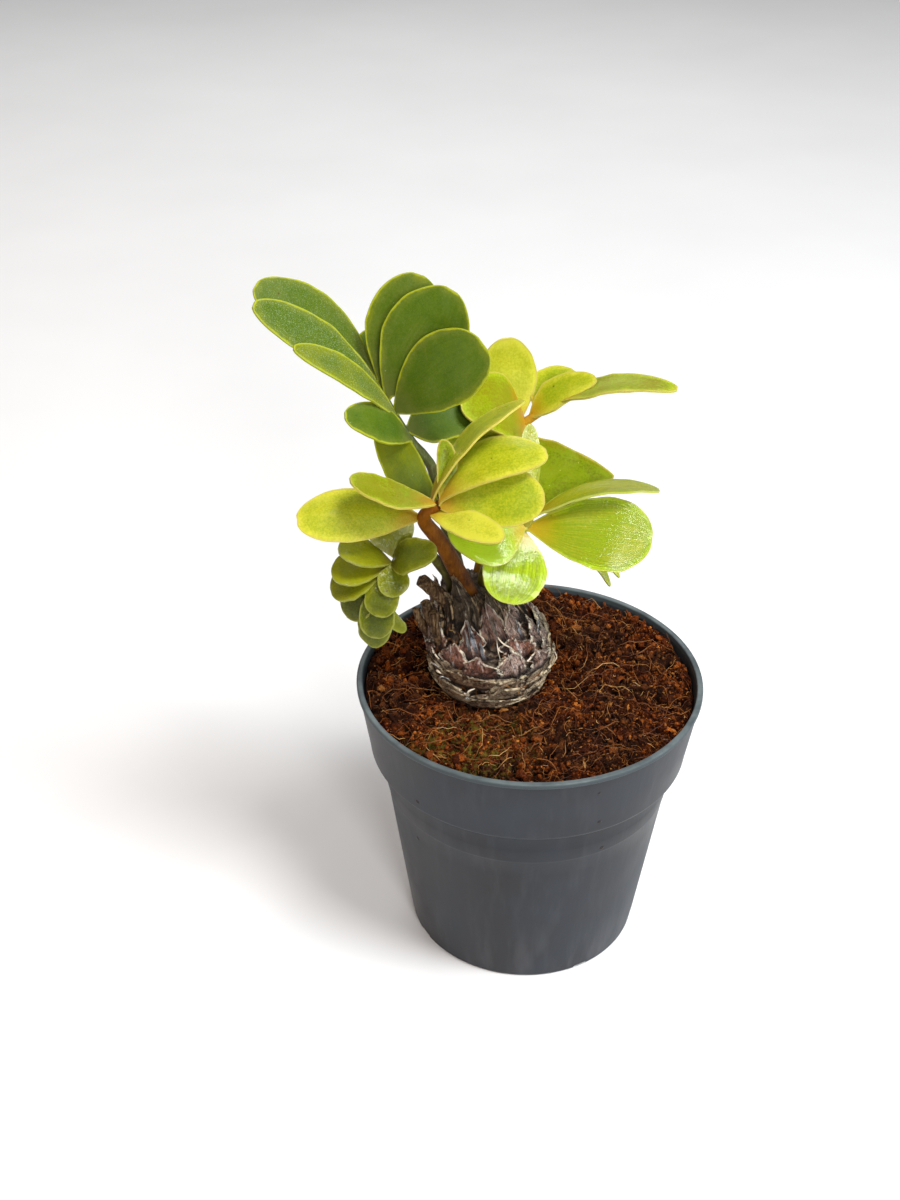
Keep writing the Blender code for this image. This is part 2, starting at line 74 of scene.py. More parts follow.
class Value:
    """The output of a shader node, which adds, multiplies and compares as a number does."""

    def __init__(self, socket):
        self.socket = socket
        self.tree = socket.id_data

    def sum(self, operation, first, second=0.0):
        return put(self.tree, "Math", {0: first, 1: second}, operation=operation)

    def __add__(self, other):
        return self.sum("ADD", self, other)

    def __sub__(self, other):
        return self.sum("SUBTRACT", self, other)

    def __rsub__(self, other):
        return self.sum("SUBTRACT", other, self)

    def __mul__(self, other):
        return self.sum("MULTIPLY", self, other)

    def __gt__(self, other):
        return self.sum("GREATER_THAN", self, other)

    def __abs__(self):
        return self.sum("ABSOLUTE", self)

    def eased(self, low, high, to_low=0.0, to_high=1.0):
        """This value, eased so that low becomes to_low and high becomes to_high."""
        limits = {"From Min": low, "From Max": high, "To Min": to_low, "To Max": to_high}
        return put(self.tree, "MapRange", {"Value": self, **limits}, interpolation_type="SMOOTHSTEP")

    def ramp(self, *stops):
        """A colour that runs through (place, colour) stops as this value goes from 0 to 1."""
        made = put(self.tree, "ValToRGB", {"Fac": self})
        elements = made.socket.node.color_ramp.elements
        while len(elements) < len(stops):
            elements.new(0.5)
        for element, (place, colour) in zip(elements, stops):
            element.position = place
            element.color = (*colour, 1.0)
        return made


def feed(socket, value):
    """Gives a socket the output of another node, or a plain number, place or colour."""
    if isinstance(value, Value):
        value.tree.links.new(value.socket, socket)
    else:
        socket.default_value = (*value, 1.0) if socket.type == "RGBA" else value


def put(tree, kind, inputs=None, output=0, **settings):
    """Adds a shader node, feeds its inputs and gives one of its outputs."""
    made = tree.nodes.new("ShaderNode" + kind)
    for name, value in settings.items():
        setattr(made, name, value)
    for name, value in (inputs or {}).items():
        feed(made.inputs[name], value)
    return Value(made.outputs[output])


class Finish:
    """A material in the making. place is where a point lies on the plant, and tint is its colour so far."""

    def __init__(self, name, roughness, specular):
        self.material = bpy.data.materials.new(name)
        self.material.use_nodes = True
        self.tree = self.material.node_tree
        self.place = put(self.tree, "TexCoord", output="Object")
        self.tint = None
        self.set("Roughness", roughness)
        self.set("Specular IOR Level", specular)

    def set(self, name, value):
        """Sets an input of the material's shader."""
        feed(self.tree.nodes["Principled BSDF"].inputs[name], value)

    def measure(self, name):
        """A number that the mesh carries at each of its points."""
        return put(self.tree, "Attribute", output="Fac", attribute_name=name)

    def joined(self, x, y, z):
        return put(self.tree, "CombineXYZ", {"X": x, "Y": y, "Z": z})

    def stretched(self, rise):
        """The place with its height multiplied by rise, which draws a pattern out upwards."""
        return put(self.tree, "Mapping", {"Vector": self.place, "Scale": (1.0, 1.0, rise)})

    def grain(self, scale, detail=3.0, roughness=0.55, distortion=0.0, place=None):
        """Noise with scale in lumps a metre."""
        inputs = {"Vector": place or self.place, "Scale": scale, "Detail": detail}
        return put(self.tree, "TexNoise", {**inputs, "Roughness": roughness, "Distortion": distortion}, "Fac")

    def specks(self, scale, channel, rare, wide, narrow, most=1.0):
        """Round specks in those cells of a random pattern whose own colour is over rare in one channel."""
        cells = put(self.tree, "TexVoronoi", {"Vector": self.place, "Scale": scale}, "Distance")
        own_colour = Value(cells.socket.node.outputs["Color"])
        chosen = put(self.tree, "SeparateColor", {"Color": own_colour}, channel) > rare
        return chosen * cells.eased(wide, narrow, 0.0, most)

    def blended(self, share, first, second):
        """A colour from first to second by share."""
        return put(self.tree, "Mix", {0: share, 6: first, 7: second}, 2, data_type="RGBA")

    def over(self, share, colour):
        """Lays a colour over the tint by share."""
        self.tint = self.blended(share, self.tint, colour)

    def bumps(self, *layers):
        """Lays (height, depth in mm) layers one over the other as the shader's bump."""
        below = {}
        for height, depth in layers:
            inputs = {"Height": height, "Distance": depth * MM, "Strength": 1.0, **below}
            below = {"Normal": put(self.tree, "Bump", inputs, "Normal")}
        self.set("Normal", below["Normal"])

    def done(self):
        """The material, with its tint."""
        self.set("Base Color", self.tint)
        return self.material


def clamped(value):
    return min(1.0, max(0.0, value))


def outward(angle):
    """The level direction at an angle."""
    return Vector((math.cos(angle), math.sin(angle), 0))


def placed(name, data):
    """A new object of the scene."""
    made = bpy.data.objects.new(name, data)
    bpy.context.scene.collection.objects.link(made)
    return made


def applied(piece):
    """The piece's mesh with its modifiers or its bevel applied."""
    bpy.context.view_layer.update()
    return bpy.data.meshes.new_from_object(piece.evaluated_get(bpy.context.evaluated_depsgraph_get()))


def smoothed(mesh, sharp):
    """Shades a mesh smooth up to edges of an angle in degrees."""
    mesh.shade_smooth()
    mesh.set_sharp_from_angle(angle=math.radians(sharp))


def piece_from(bm, name, finish, sharp=40, merge=0.001):
    """The piece of a bmesh in millimetres: merged, turned outward, shaded smooth, with its finish."""
    if merge:
        bmesh.ops.remove_doubles(bm, verts=bm.verts, dist=merge)
        bmesh.ops.recalc_face_normals(bm, faces=bm.faces)
    bmesh.ops.scale(bm, vec=(MM, MM, MM), verts=bm.verts)
    mesh = bpy.data.meshes.new(name)
    bm.to_mesh(mesh)
    bm.free()
    mesh.materials.append(finish)
    smoothed(mesh, sharp)
    return placed(name, mesh)


def declare(piece, node=None):
    """Fixes the piece to the plant, and hides the imported solid it stands for if one is given."""
    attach(piece, "root")
    if node:
        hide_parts(node)


def arc(radius, height, bend, start, end, steps):
    """Points (radius, height) on an arc of radius bend, from the angle start to end in degrees."""
    points = []
    for step in range(steps + 1):
        angle = math.radians(start + (end - start) * step / steps)
        points.append((radius + bend * math.cos(angle), height + bend * math.sin(angle)))
    return points


def turned(profile, sides):
    """A closed solid of revolution about Z, from (radius, height) points that start and end on the axis."""
    bm = bmesh.new()
    line = [bm.verts.new((radius, 0.0, height)) for radius, height in profile]
    edges = [bm.edges.new(pair) for pair in zip(line, line[1:])]
    bmesh.ops.spin(
        bm, geom=line + edges, cent=(0, 0, 0), axis=(0, 0, 1),
        angle=math.tau, steps=sides, use_merge=True,
    )
    bmesh.ops.remove_doubles(bm, verts=bm.verts, dist=0.001)
    return bm


def cut_out(piece, cutters):
    """Cuts the cutters out of the piece and removes them."""
    group = bpy.data.collections.new(piece.name + "_cutters")
    bpy.context.scene.collection.children.link(group)
    for cutter in cutters:
        bpy.context.scene.collection.objects.unlink(cutter)
        group.objects.link(cutter)
    modifier = piece.modifiers.new("Cut", "BOOLEAN")
    modifier.operation = "DIFFERENCE"
    modifier.operand_type = "COLLECTION"
    modifier.collection = group
    solid = applied(piece)
    piece.modifiers.clear()
    piece.data = solid
    for cutter in cutters:
        bpy.data.objects.remove(cutter)
    bpy.data.collections.remove(group)
    smoothed(solid, 40)


def wall_radius(height):
    """The outer wall's radius between the foot and the step."""
    return FOOT_RADIUS + (STEP_RADIUS - FOOT_RADIUS) * height / STEP_HEIGHT


def pot_profile():
    """The pot's section: up its outer side, over the lip and down its inner side."""
    ring_inside = FOOT_RADIUS - FOOT_RING_WIDTH
    points = [(0.0, 0.0)] + arc(PAD_RADIUS - 0.4, 0.4, 0.4, -90, 0, 3)
    points += arc(PAD_RADIUS + 0.6, FLOOR_RISE - 0.5, 0.5, 180, 90, 3)
    points += arc(ring_inside - 0.6, FLOOR_RISE - 0.5, 0.5, 90, 0, 3)
    points += arc(ring_inside + 0.3, 0.3, 0.3, 180, 270, 2) + arc(FOOT_RADIUS - 0.9, 0.9, 0.9, -90, 0, 5)
    for step in range(1, 12):
        height = 1.5 + 4.2 * step
        points.append((wall_radius(height), height))
    for rise, proud in ((0.0, 0.0), (0.3, 0.1), (0.6, 0.18), (1.0, 0.2), (4.6, 0.2), (5.4, 0.12), (6.2, 0.0)):
        height = STACKING_RING + rise
        points.append((wall_radius(height) + proud, height))
    points += [(wall_radius(height), height) for height in (63.0, 65.0)]
    points += arc(STEP_RADIUS + 1.2, STEP_HEIGHT - 0.2, 1.2, 180, 105, 5)
    points += arc(BAND_RADIUS - 1.9, STEP_HEIGHT + 2.6, 1.9, -62, -5, 8)
    lip_low = POT_HEIGHT - 1.7
    for step in range(1, 9):
        share = step / 8
        radius = BAND_RADIUS + (RIM_RADIUS - 0.55 - BAND_RADIUS) * share
        points.append((radius, BAND_FOOT + (lip_low - BAND_FOOT) * share))
    points += arc(RIM_RADIUS - 0.45, lip_low + 0.5, 0.45, -80, 0, 4)
    points += arc(RIM_RADIUS - 0.55, POT_HEIGHT - 0.55, 0.55, 0, 90, 5)
    inner = RIM_RADIUS - 1.45
    points += arc(inner + 0.1, POT_HEIGHT - 0.5, 0.5, 90, 180, 4)
    points += [
        (inner - 0.7, POT_HEIGHT - 3.0), (BAND_RADIUS - WALL, 69.2), (STEP_RADIUS - WALL, STEP_HEIGHT + 1.2),
        (wall_radius(50.0) - WALL, 50.0), (wall_radius(25.0) - WALL, 25.0),
        (FOOT_RADIUS - WALL + 0.3, FLOOR_RISE + WALL + 1.2), (FOOT_RADIUS - WALL - 0.8, FLOOR_RISE + WALL),
        (0.0, FLOOR_RISE + WALL),
    ]
    return points


def pot_plastic():
    """Slate grey plastic: a soft sheen, faint clouds and flow marks, a painted highlight that makes the lip
    paler and bluer and flecks its top edge, pale scuffs and a few specks of soil.
    """
    made = Finish("pot_plastic", 0.42, 0.18)
    rise = put(made.tree, "SeparateXYZ", {"Vector": made.place}, "Z")
    clouds = made.grain(26.0, 4.0)
    made.tint = clouds.ramp(
        (0.3, (0.024, 0.024, 0.026)), (0.5, (0.028, 0.03, 0.035)), (0.72, (0.034, 0.04, 0.049)),
    )
    flow = made.stretched(0.12)
    streaks = made.grain(240.0, 5.0, 0.6, place=flow)
    made.over(streaks.eased(0.45, 0.75, 0.0, 0.18), (0.08, 0.082, 0.09))
    # Painted highlight: the lip is made paler and bluer, where light catches it.
    made.over(rise.eased((POT_HEIGHT - 2.1) * MM, (POT_HEIGHT - 1.5) * MM), (0.048, 0.061, 0.067))
    # Painted highlight on the lip's top edge, broken into patches by noise.
    lip_highlight_patches = made.grain(110.0, 3.0, 0.6).eased(0.25, 0.75)
    edge = rise.eased((POT_HEIGHT - 0.6) * MM, POT_HEIGHT * MM)
    made.over(edge * lip_highlight_patches * 0.4, (0.22, 0.26, 0.26))
    low = rise.eased(0.03, 0.004) * made.grain(90.0, 5.0, place=flow).eased(0.5, 0.7)
    made.over(low * 0.35, (0.11, 0.11, 0.12))
    soil = made.specks(95.0, 0, 0.72, 0.085, 0.045)
    made.over(soil, (0.018, 0.01, 0.007))
    made.set("Roughness", clouds.eased(0.3, 0.7, 0.36, 0.52))
    made.bumps((made.grain(1500.0), 0.02), (streaks, 0.05), (soil, 0.2))
    return made.done()


def drain_cutter(index, finish):
    angle = math.tau * index / DRAIN_HOLES
    place = Vector((DRAIN_CIRCLE * math.cos(angle), DRAIN_CIRCLE * math.sin(angle), FLOOR_RISE))
    bm = bmesh.new()
    bmesh.ops.create_cone(
        bm, cap_ends=True, segments=32, radius1=DRAIN_RADIUS, radius2=DRAIN_RADIUS, depth=6.0,
        matrix=Matrix.Translation(place),
    )
    return piece_from(bm, f"drain_{index}", finish)


def notch_cutter(index, finish):
    bm = bmesh.new()
    bmesh.ops.create_cube(bm, size=1.0)
    bmesh.ops.scale(bm, vec=NOTCH_SIZE, verts=bm.verts)
    bmesh.ops.bevel(bm, geom=bm.edges[:], offset=0.5, segments=2, affect="EDGES", profile=0.5, material=-1)
    bmesh.ops.translate(bm, vec=(FOOT_RADIUS - FOOT_RING_WIDTH / 2, 0, 0), verts=bm.verts)
    turn = Matrix.Rotation(FIRST_NOTCH + math.tau * index / NOTCHES, 4, "Z")
    bmesh.ops.transform(bm, matrix=turn, verts=bm.verts)
    return piece_from(bm, f"notch_{index}", finish)


plastic = pot_plastic()
pot = piece_from(turned(pot_profile(), POT_SIDES), "nursery_pot", plastic, sharp=50)
cut_out(
    pot,
    [drain_cutter(index, plastic) for index in range(DRAIN_HOLES)]
    + [notch_cutter(index, plastic) for index in range(NOTCHES)],
)
declare(pot, "pot")


# The coir: shredded coconut husk, rust brown, pressed into the pot and heaped a little at the back. It is
# a rough bed with crumbs and bark chips on it, and with pale husk fibres that curl out of it.

COIR_LEVEL = 87.0
COIR_BACK_RISE = 1.8
COIR_RADIUS = 50.0
COIR_PITCH = 0.62
BULB_X, BULB_Y = -12.0, 5.5
BULB_AT_SOIL = 15.6
CRUMBS = 7200
CHIPS = 620
FIBRES = 1500
FIBRE_POINTS = 9
COIR_SIDE = ((47.0, 70.0), (43.7, 67.6), (34.9, 4.8))
COIR_EDGE_DROP = 0.8
HOLLOW_X, HOLLOW_Y = 14.5, -1.5
MOSS_PLACE = (-0.018, -0.03, 0.086)


def coir_height(x, y):
    """The bed's broad shape: the back heap, slow lumps, the dip at the wall, a moat round the caudex and a
    hollow."""
    share = math.hypot(x, y) / COIR_RADIUS
    lumps = 1.3 * noise.noise(Vector((x, y, 0)) * 0.11) + 0.7 * noise.noise(Vector((x, y, 7)) * 0.27)
    dip = 0.5 * max(0.0, (share - 0.86) / 0.14) ** 2
    near = math.hypot(x - BULB_X, y - BULB_Y) - BULB_AT_SOIL
    moat = 1.0 * math.exp(-(max(near, 0.0) / 2.2) ** 2)
    hollow = 2.6 * math.exp(-((x - HOLLOW_X) ** 2 + (y - HOLLOW_Y) ** 2) / 13.0)
    heap = 1.4 * max(0.0, share - 0.4) * (1.2 + (y - x) / COIR_RADIUS)
    return COIR_LEVEL + COIR_BACK_RISE * y / COIR_RADIUS + heap + lumps - dip - moat - hollow


def coir_relief(x, y):
    """The bed's fine relief: crumbs and pits."""
    crumbs = noise.fractal(Vector((x, y, 3)) * 0.5, 0.9, 2.1, 4)
    pits = max(0.0, noise.noise(Vector((x, y, 20)) * 0.42) - 0.14)
    return 1.1 * crumbs - 5.6 * pits


def coir_colour(made, shade):
    """Rust brown from near black through red brown to golden, by shade from 0 to 1."""
    rust = shade.ramp(
        (0.0, (0.008, 0.002, 0.001)), (0.3, (0.04, 0.008, 0.002)), (0.55, (0.145, 0.032, 0.005)),
        (0.78, (0.31, 0.078, 0.01)), (1.0, (0.54, 0.19, 0.034)),
    )
    dark = shade.ramp(
        (0.0, (0.006, 0.003, 0.002)), (0.4, (0.028, 0.008, 0.003)), (0.75, (0.11, 0.036, 0.009)),
        (1.0, (0.33, 0.15, 0.04)),
    )
    return made.blended(made.grain(75.0).eased(0.42, 0.62), rust, dark)


def coir_bed_finish():
    """The bed: fine rust and dark brown crumbs, with painted shade that turns it black in the pits, and a
    little moss at the front left.
    """
    made = Finish("coir_bed", 0.95, 0.05)
    crumbs = put(made.tree, "TexVoronoi", {"Vector": made.place, "Scale": 1100.0, "Detail": 1.0}, "Distance")
    # The depth measure is painted shade: it darkens the colour where the bed sinks into pits.
    shade = made.grain(800.0, 6.0, 0.75).eased(0.3, 0.75) * made.measure("depth")
    made.tint = coir_colour(made, shade + crumbs.eased(0.7, 0.0) * 0.12)
    offset = put(made.tree, "VectorMath", {0: made.place, 1: MOSS_PLACE}, "Value", operation="DISTANCE")
    moss = offset.eased(0.024, 0.006) * made.grain(420.0, 5.0, 0.7).eased(0.46, 0.58)
    made.over(moss * 0.75, (0.125, 0.102, 0.014))
    made.bumps((made.grain(1600.0, 6.0, 0.75), 0.6), (crumbs, 0.35))
    return made.done()


def coir_crumb_finish():
    """Crumbs and chips: each has its own shade, with a fibrous grain."""
    made = Finish("coir_crumbs", 0.9, 0.08)
    shade = made.measure("shade") + made.grain(2400.0, 4.0, 0.7).eased(0.3, 0.7, -0.2, 0.2)
    made.tint = coir_colour(made, shade)
    made.bumps((made.grain(3000.0, 4.0, 0.7), 0.3))
    return made.done()


def coir_fibre_finish(name):
    """Husk fibres: each is rust, tan or straw coloured, with a faint gloss."""
    made = Finish(name, 0.6, 0.25)
    made.tint = made.measure("shade").ramp(
        (0.0, (0.06, 0.014, 0.003)), (0.4, (0.19, 0.056, 0.01)), (0.7, (0.34, 0.14, 0.03)),
        (1.0, (0.62, 0.38, 0.14)),
    )
    return made.done()


def coir_bed():
    """The bed's rough top, closed down the inner side of the pot to its floor."""
    cells = round(2 * COIR_RADIUS / COIR_PITCH)
    bm = bmesh.new()
    bmesh.ops.create_grid(bm, x_segments=cells, y_segments=cells, size=COIR_RADIUS)
    outside = [face for face in bm.faces if face.calc_center_median().length > COIR_RADIUS]
    bmesh.ops.delete(bm, geom=outside, context="FACES")
    rim = [edge for edge in bm.edges if edge.is_boundary]
    for vert in {vert for edge in rim for vert in edge.verts}:
        vert.co *= COIR_RADIUS / vert.co.length
    depth = bm.verts.layers.float.new("depth")
    for vert in bm.verts:
        relief = coir_relief(vert.co.x, vert.co.y)
        drop = COIR_EDGE_DROP if vert.is_boundary else 0.0
        # Painted shade: depth falls where the relief sinks into pits, and the finish darkens the colour
        # there.
        vert[depth] = clamped(0.66 + 0.62 * relief)
        vert.co.z = coir_height(vert.co.x, vert.co.y) + relief - drop
    for radius, height in COIR_SIDE:
        made = bmesh.ops.extrude_edge_only(bm, edges=rim)["geom"]
        rim = [one for one in made if isinstance(one, bmesh.types.BMEdge)]
        for vert in {vert for edge in rim for vert in edge.verts}:
            vert.co = Vector((vert.co.x, vert.co.y, 0)).normalized() * radius + Vector((0, 0, height))
    bmesh.ops.contextual_create(bm, geom=rim)
    return piece_from(bm, "coir_bed", coir_bed_finish(), sharp=180)


def place_on_coir(rng, reach, clear):
    """A random place on the bed, clear of the caudex."""
    while True:
        radius = reach * math.sqrt(rng.random())
        angle = rng.uniform(0, math.tau)
        x, y = radius * math.cos(angle), radius * math.sin(angle)
        if math.hypot(x - BULB_X, y - BULB_Y) > BULB_AT_SOIL + clear:
            return x, y


def random_vector(rng):
    return Vector((rng.gauss(0, 1), rng.gauss(0, 1), rng.gauss(0, 1)))


def loose_crumbs(name, finish, count, sizes, detail, seed, flat):
    """Loose crumbs on the bed: one rough lump copied, each copy with its own size, turn and shade."""
    rng = random.Random(seed)
    lump = bmesh.new()
    bmesh.ops.create_icosphere(lump, subdivisions=detail, radius=1.0)
    for vert in lump.verts:
        rough = noise.noise(vert.co * 1.7 + Vector((seed, 0, 0))) + 0.6 * noise.noise(vert.co * 4.1)
        vert.co *= 1 + 0.55 * rough
    template = bpy.data.meshes.new(name + "_lump")
    lump.to_mesh(template)
    lump.free()
    bm = bmesh.new()
    for _ in range(count):
        bm.from_mesh(template)
    shade = bm.verts.layers.float.new("shade")
    for index, vert in enumerate(bm.verts):
        if index % len(template.vertices) == 0:
            x, y = place_on_coir(rng, COIR_RADIUS - 1.2, -0.4)
            size = sizes[0] + (sizes[1] - sizes[0]) * rng.random() ** 2.5
            centre = Vector((x, y, coir_height(x, y) + coir_relief(x, y) + 0.15 * size))
            axis = random_vector(rng)
            shape = Matrix.Diagonal((rng.uniform(0.6, 1.5), rng.uniform(0.6, 1.1), rng.uniform(*flat)))
            whole = Matrix.Rotation(rng.uniform(0, math.tau), 3, axis) @ shape * (size / 2)
            tone = clamped(rng.gauss(0.47, 0.19))
        vert.co = centre + whole @ vert.co
        vert[shade] = tone
    return piece_from(bm, name, finish, sharp=60, merge=0)


def strands(name, lines, finish, sides=4, ends=0.35):
    """Round strands. Each line is its points, its radii at both ends and its shade, and thins towards its
    two ends unless ends is 0."""
    curve = bpy.data.curves.new(name, "CURVE")
    curve.dimensions = "3D"
    curve.bevel_depth = MM
    curve.bevel_resolution = (sides - 4) // 2
    curve.use_fill_caps = True
    for points, (thick, thin), _ in lines:
        spline = curve.splines.new("POLY")
        spline.points.add(len(points) - 1)
        for index, (point, target) in enumerate(zip(points, spline.points)):
            share = index / (len(points) - 1)
            narrow = max(0.02, math.sin(math.pi * share)) ** ends
            target.co = (*(point * MM), 1.0)
            target.radius = (thick + (thin - thick) * share ** 1.5) * narrow
    drawn = placed(name + "_lines", curve)
    mesh = applied(drawn)
    bpy.data.objects.remove(drawn)
    along = mesh.attributes.new("along", "FLOAT", "POINT")
    shade = mesh.attributes.new("shade", "FLOAT", "POINT")
    first = 0
    for points, _, tone in lines:
        for index in range(len(points) * sides):
            along.data[first + index].value = index // sides / (len(points) - 1)
            shade.data[first + index].value = tone
        first += len(points) * sides
    mesh.name = name
    mesh.materials.clear()
    mesh.materials.append(finish)
    smoothed(mesh, 60)
    return placed(name, mesh)


def husk_fibre(rng, x, y, length, lift):
    """A fibre that starts in the bed at x, y, arches up by lift and curls back down to it."""
    heading = rng.uniform(0, math.tau)
    curl = rng.gauss(0, 1.4)
    points = []
    for step in range(FIBRE_POINTS):
        share = step / (FIBRE_POINTS - 1)
        rise = lift * math.sin(math.pi * share) - 0.5 * (1 - share) + 0.15
        floor = coir_height(x, y) + max(coir_relief(x, y), -0.6)
        points.append(Vector((x, y, floor + rise)))
        heading += curl / FIBRE_POINTS + rng.gauss(0, 0.16)
        x += math.cos(heading) * length / FIBRE_POINTS
        y += math.sin(heading) * length / FIBRE_POINTS
        reach = math.hypot(x, y)
        if reach > COIR_RADIUS - 0.6:
            x, y = x * (COIR_RADIUS - 0.6) / reach, y * (COIR_RADIUS - 0.6) / reach
    return points


def husk_fibres():
    rng = random.Random(5)
    lines = []
    for _ in range(FIBRES):
        x, y = place_on_coir(rng, COIR_RADIUS - 1.5, 0.3)
        length = 2.0 + 18.0 * rng.random() ** 4
        thickness = rng.uniform(0.04, 0.12)
        shade = clamped(rng.gauss(0.42, 0.25))
        points = husk_fibre(rng, x, y, length, rng.uniform(0.0, 0.22) * length)
        lines.append((points, (thickness, thickness), shade))
    return strands("coir_fibres", lines, coir_fibre_finish("coir_fibre"))


crumb_finish = coir_crumb_finish()
declare(coir_bed(), "coir")
declare(loose_crumbs("coir_crumbs", crumb_finish, CRUMBS, (0.4, 1.3), 1, 1, (0.5, 1.0)))
declare(loose_crumbs("coir_chips", crumb_finish, CHIPS, (0.9, 3.2), 2, 2, (0.4, 0.8)))
declare(husk_fibres())


# The caudex: the palm's swollen stem, a bulb of dry corky wood half sunk in the coir. Old leaf bases clothe
# it: worn bands round its lower half and torn papery scales over its top, with stumps of dried leaf stalks.

BULB_PROFILE = [
    (0.0, 52.0), (3.0, 53.0), (7.0, 64.0), (11.0, 76.0), (14.4, 85.0), (16.8, 91.0), (17.6, 97.0),
    (16.6, 103.5), (14.0, 109.0), (11.6, 113.0), (10.2, 117.0), (8.6, 119.5), (0.0, 120.0),
]
BULB_FOOT, BULB_TOP = 53.0, 118.0
BULB_MIDDLE = 97.0
BULB_LEAN = Vector((-0.27, 0.06))
GOLDEN_ANGLE = math.radians(137.508)
BODY_SIDES = 220
BODY_PITCH = 0.42
TORN_BITS = 12
WOUND_SCALES = 74
BEST_SIDE = (-2.8, 0.3)
CROWN_BLADES = 40
BARK_FIBRES = 420
BARK_FIBRE_STEPS = 6
NOISE_SEED = 16
OLD_STALK = [(-21.5, 3, 111), (-27, 0.5, 119), (-32.4, -2.5, 126.3)]
SIDE_STUBS = [
    ([(-26.5, 3, 104), (-29.5, 0, 111), (-31.5, -2.5, 118.5)], (1.9, 1.3)),
    ([(-25, -2, 101), (-28.0, -4, 108), (-29.0, -5, 117.0)], (1.7, 1.2)),
    ([(-27.5, 5, 101), (-32, 2, 107), (-34.5, 1, 114)], (1.8, 0.7)),
]


def bulb_radius(height):
    """The bulb's radius at a height."""
    for (low_radius, low), (high_radius, high) in zip(BULB_PROFILE, BULB_PROFILE[1:]):
        if low <= height <= high:
            return low_radius + (high_radius - low_radius) * (height - low) / (high - low)
    return 0.0


def bulb_axis(height):
    """The point on the bulb's leaning axis at a height."""
    rise = max(0.0, height - BULB_MIDDLE)
    return Vector((BULB_X + BULB_LEAN.x * rise, BULB_Y + BULB_LEAN.y * rise, height))


def bark_finish(name, dark, first, second, pale, edge, rough=0.75, streaky=0.95):
    """Dry leaf base: long fine grain, torn pale edges, cracks, and for each scale a shade between the two
    colours first and second. A pale crest along its ridge is a painted highlight, and its dark root, where it
    tucks under the scale below, is painted shade."""
    made = Finish(name, rough, 0.25)
    along, across, tone = (made.measure(one) for one in ("along", "across", "tone"))
    fibre = made.grain(2.2, 6.0, 0.75, 0.9, made.joined(across * 6.0, along * 0.9, tone * 40.0))
    blotch = made.grain(260.0, 6.0, 0.7, 0.5)
    made.tint = made.blended((tone + blotch * 0.8).eased(0.6, 1.2), first, second)
    made.over(blotch.eased(0.5, 0.38, 0.0, 0.92), dark)
    streaks = fibre.eased(0.54, 0.61) * blotch.eased(0.42, 0.56, 0.15, 1.0)
    made.over(streaks * streaky, pale)
    # Painted highlight: a pale streak along the scale's ridge.
    crest_highlight = abs(across).eased(0.13, 0.03) * made.grain(330.0, 5.0, 0.7).eased(0.46, 0.6, 0.0, 0.9)
    made.over(crest_highlight, pale)
    made.over(fibre.eased(0.46, 0.38, 0.0, 0.9), dark)
    sides = abs(across).eased(0.82, 0.94)
    rim = sides.sum("MAXIMUM", sides, along.eased(0.94, 1.0))
    made.over(rim * made.grain(520.0, 4.0, 0.7).eased(0.4, 0.54), edge)
    # Painted shade: darker towards the root, where each scale tucks under the one below, and in the body's
    # cracks, where along is low.
    made.over(along.eased(0.34, 0.04, 0.0, 0.95), dark)
    plates = {"Vector": made.joined(across * 3.2 + blotch * 2.4, along * 1.8 + fibre * 0.7, tone * 40.0)}
    plates["Scale"] = 1.6
    edges = put(made.tree, "TexVoronoi", plates, "Distance", feature="DISTANCE_TO_EDGE")
    crack = edges.eased(0.07, 0.01, 0.0, 0.85)
    made.over(crack, dark)
    made.set("Roughness", fibre.eased(0.3, 0.7, rough - 0.3, rough + 0.1))
    made.bumps((1.0 - crack, 0.8), (fibre, 1.3), (blotch, 1.3), (made.grain(1500.0, 5.0, 0.75), 0.35))
    return made.done()


def with_measures(bm):
    """The bmesh, ready to say how far along and across its blade a point is, and that blade's tone."""
    for name in ("along", "across", "tone"):
        bm.verts.layers.float.new(name)
    return bm


def set_measures(bm, vert, along, across, tone):
    layers = bm.verts.layers.float
    vert[layers["along"]], vert[layers["across"]], vert[layers["tone"]] = along, across, tone


def rough(warp, *offset):
    """Noise at an offset from warp, which is the place of one scale or leaflet in the pattern."""
    return noise.noise(warp + Vector(offset))


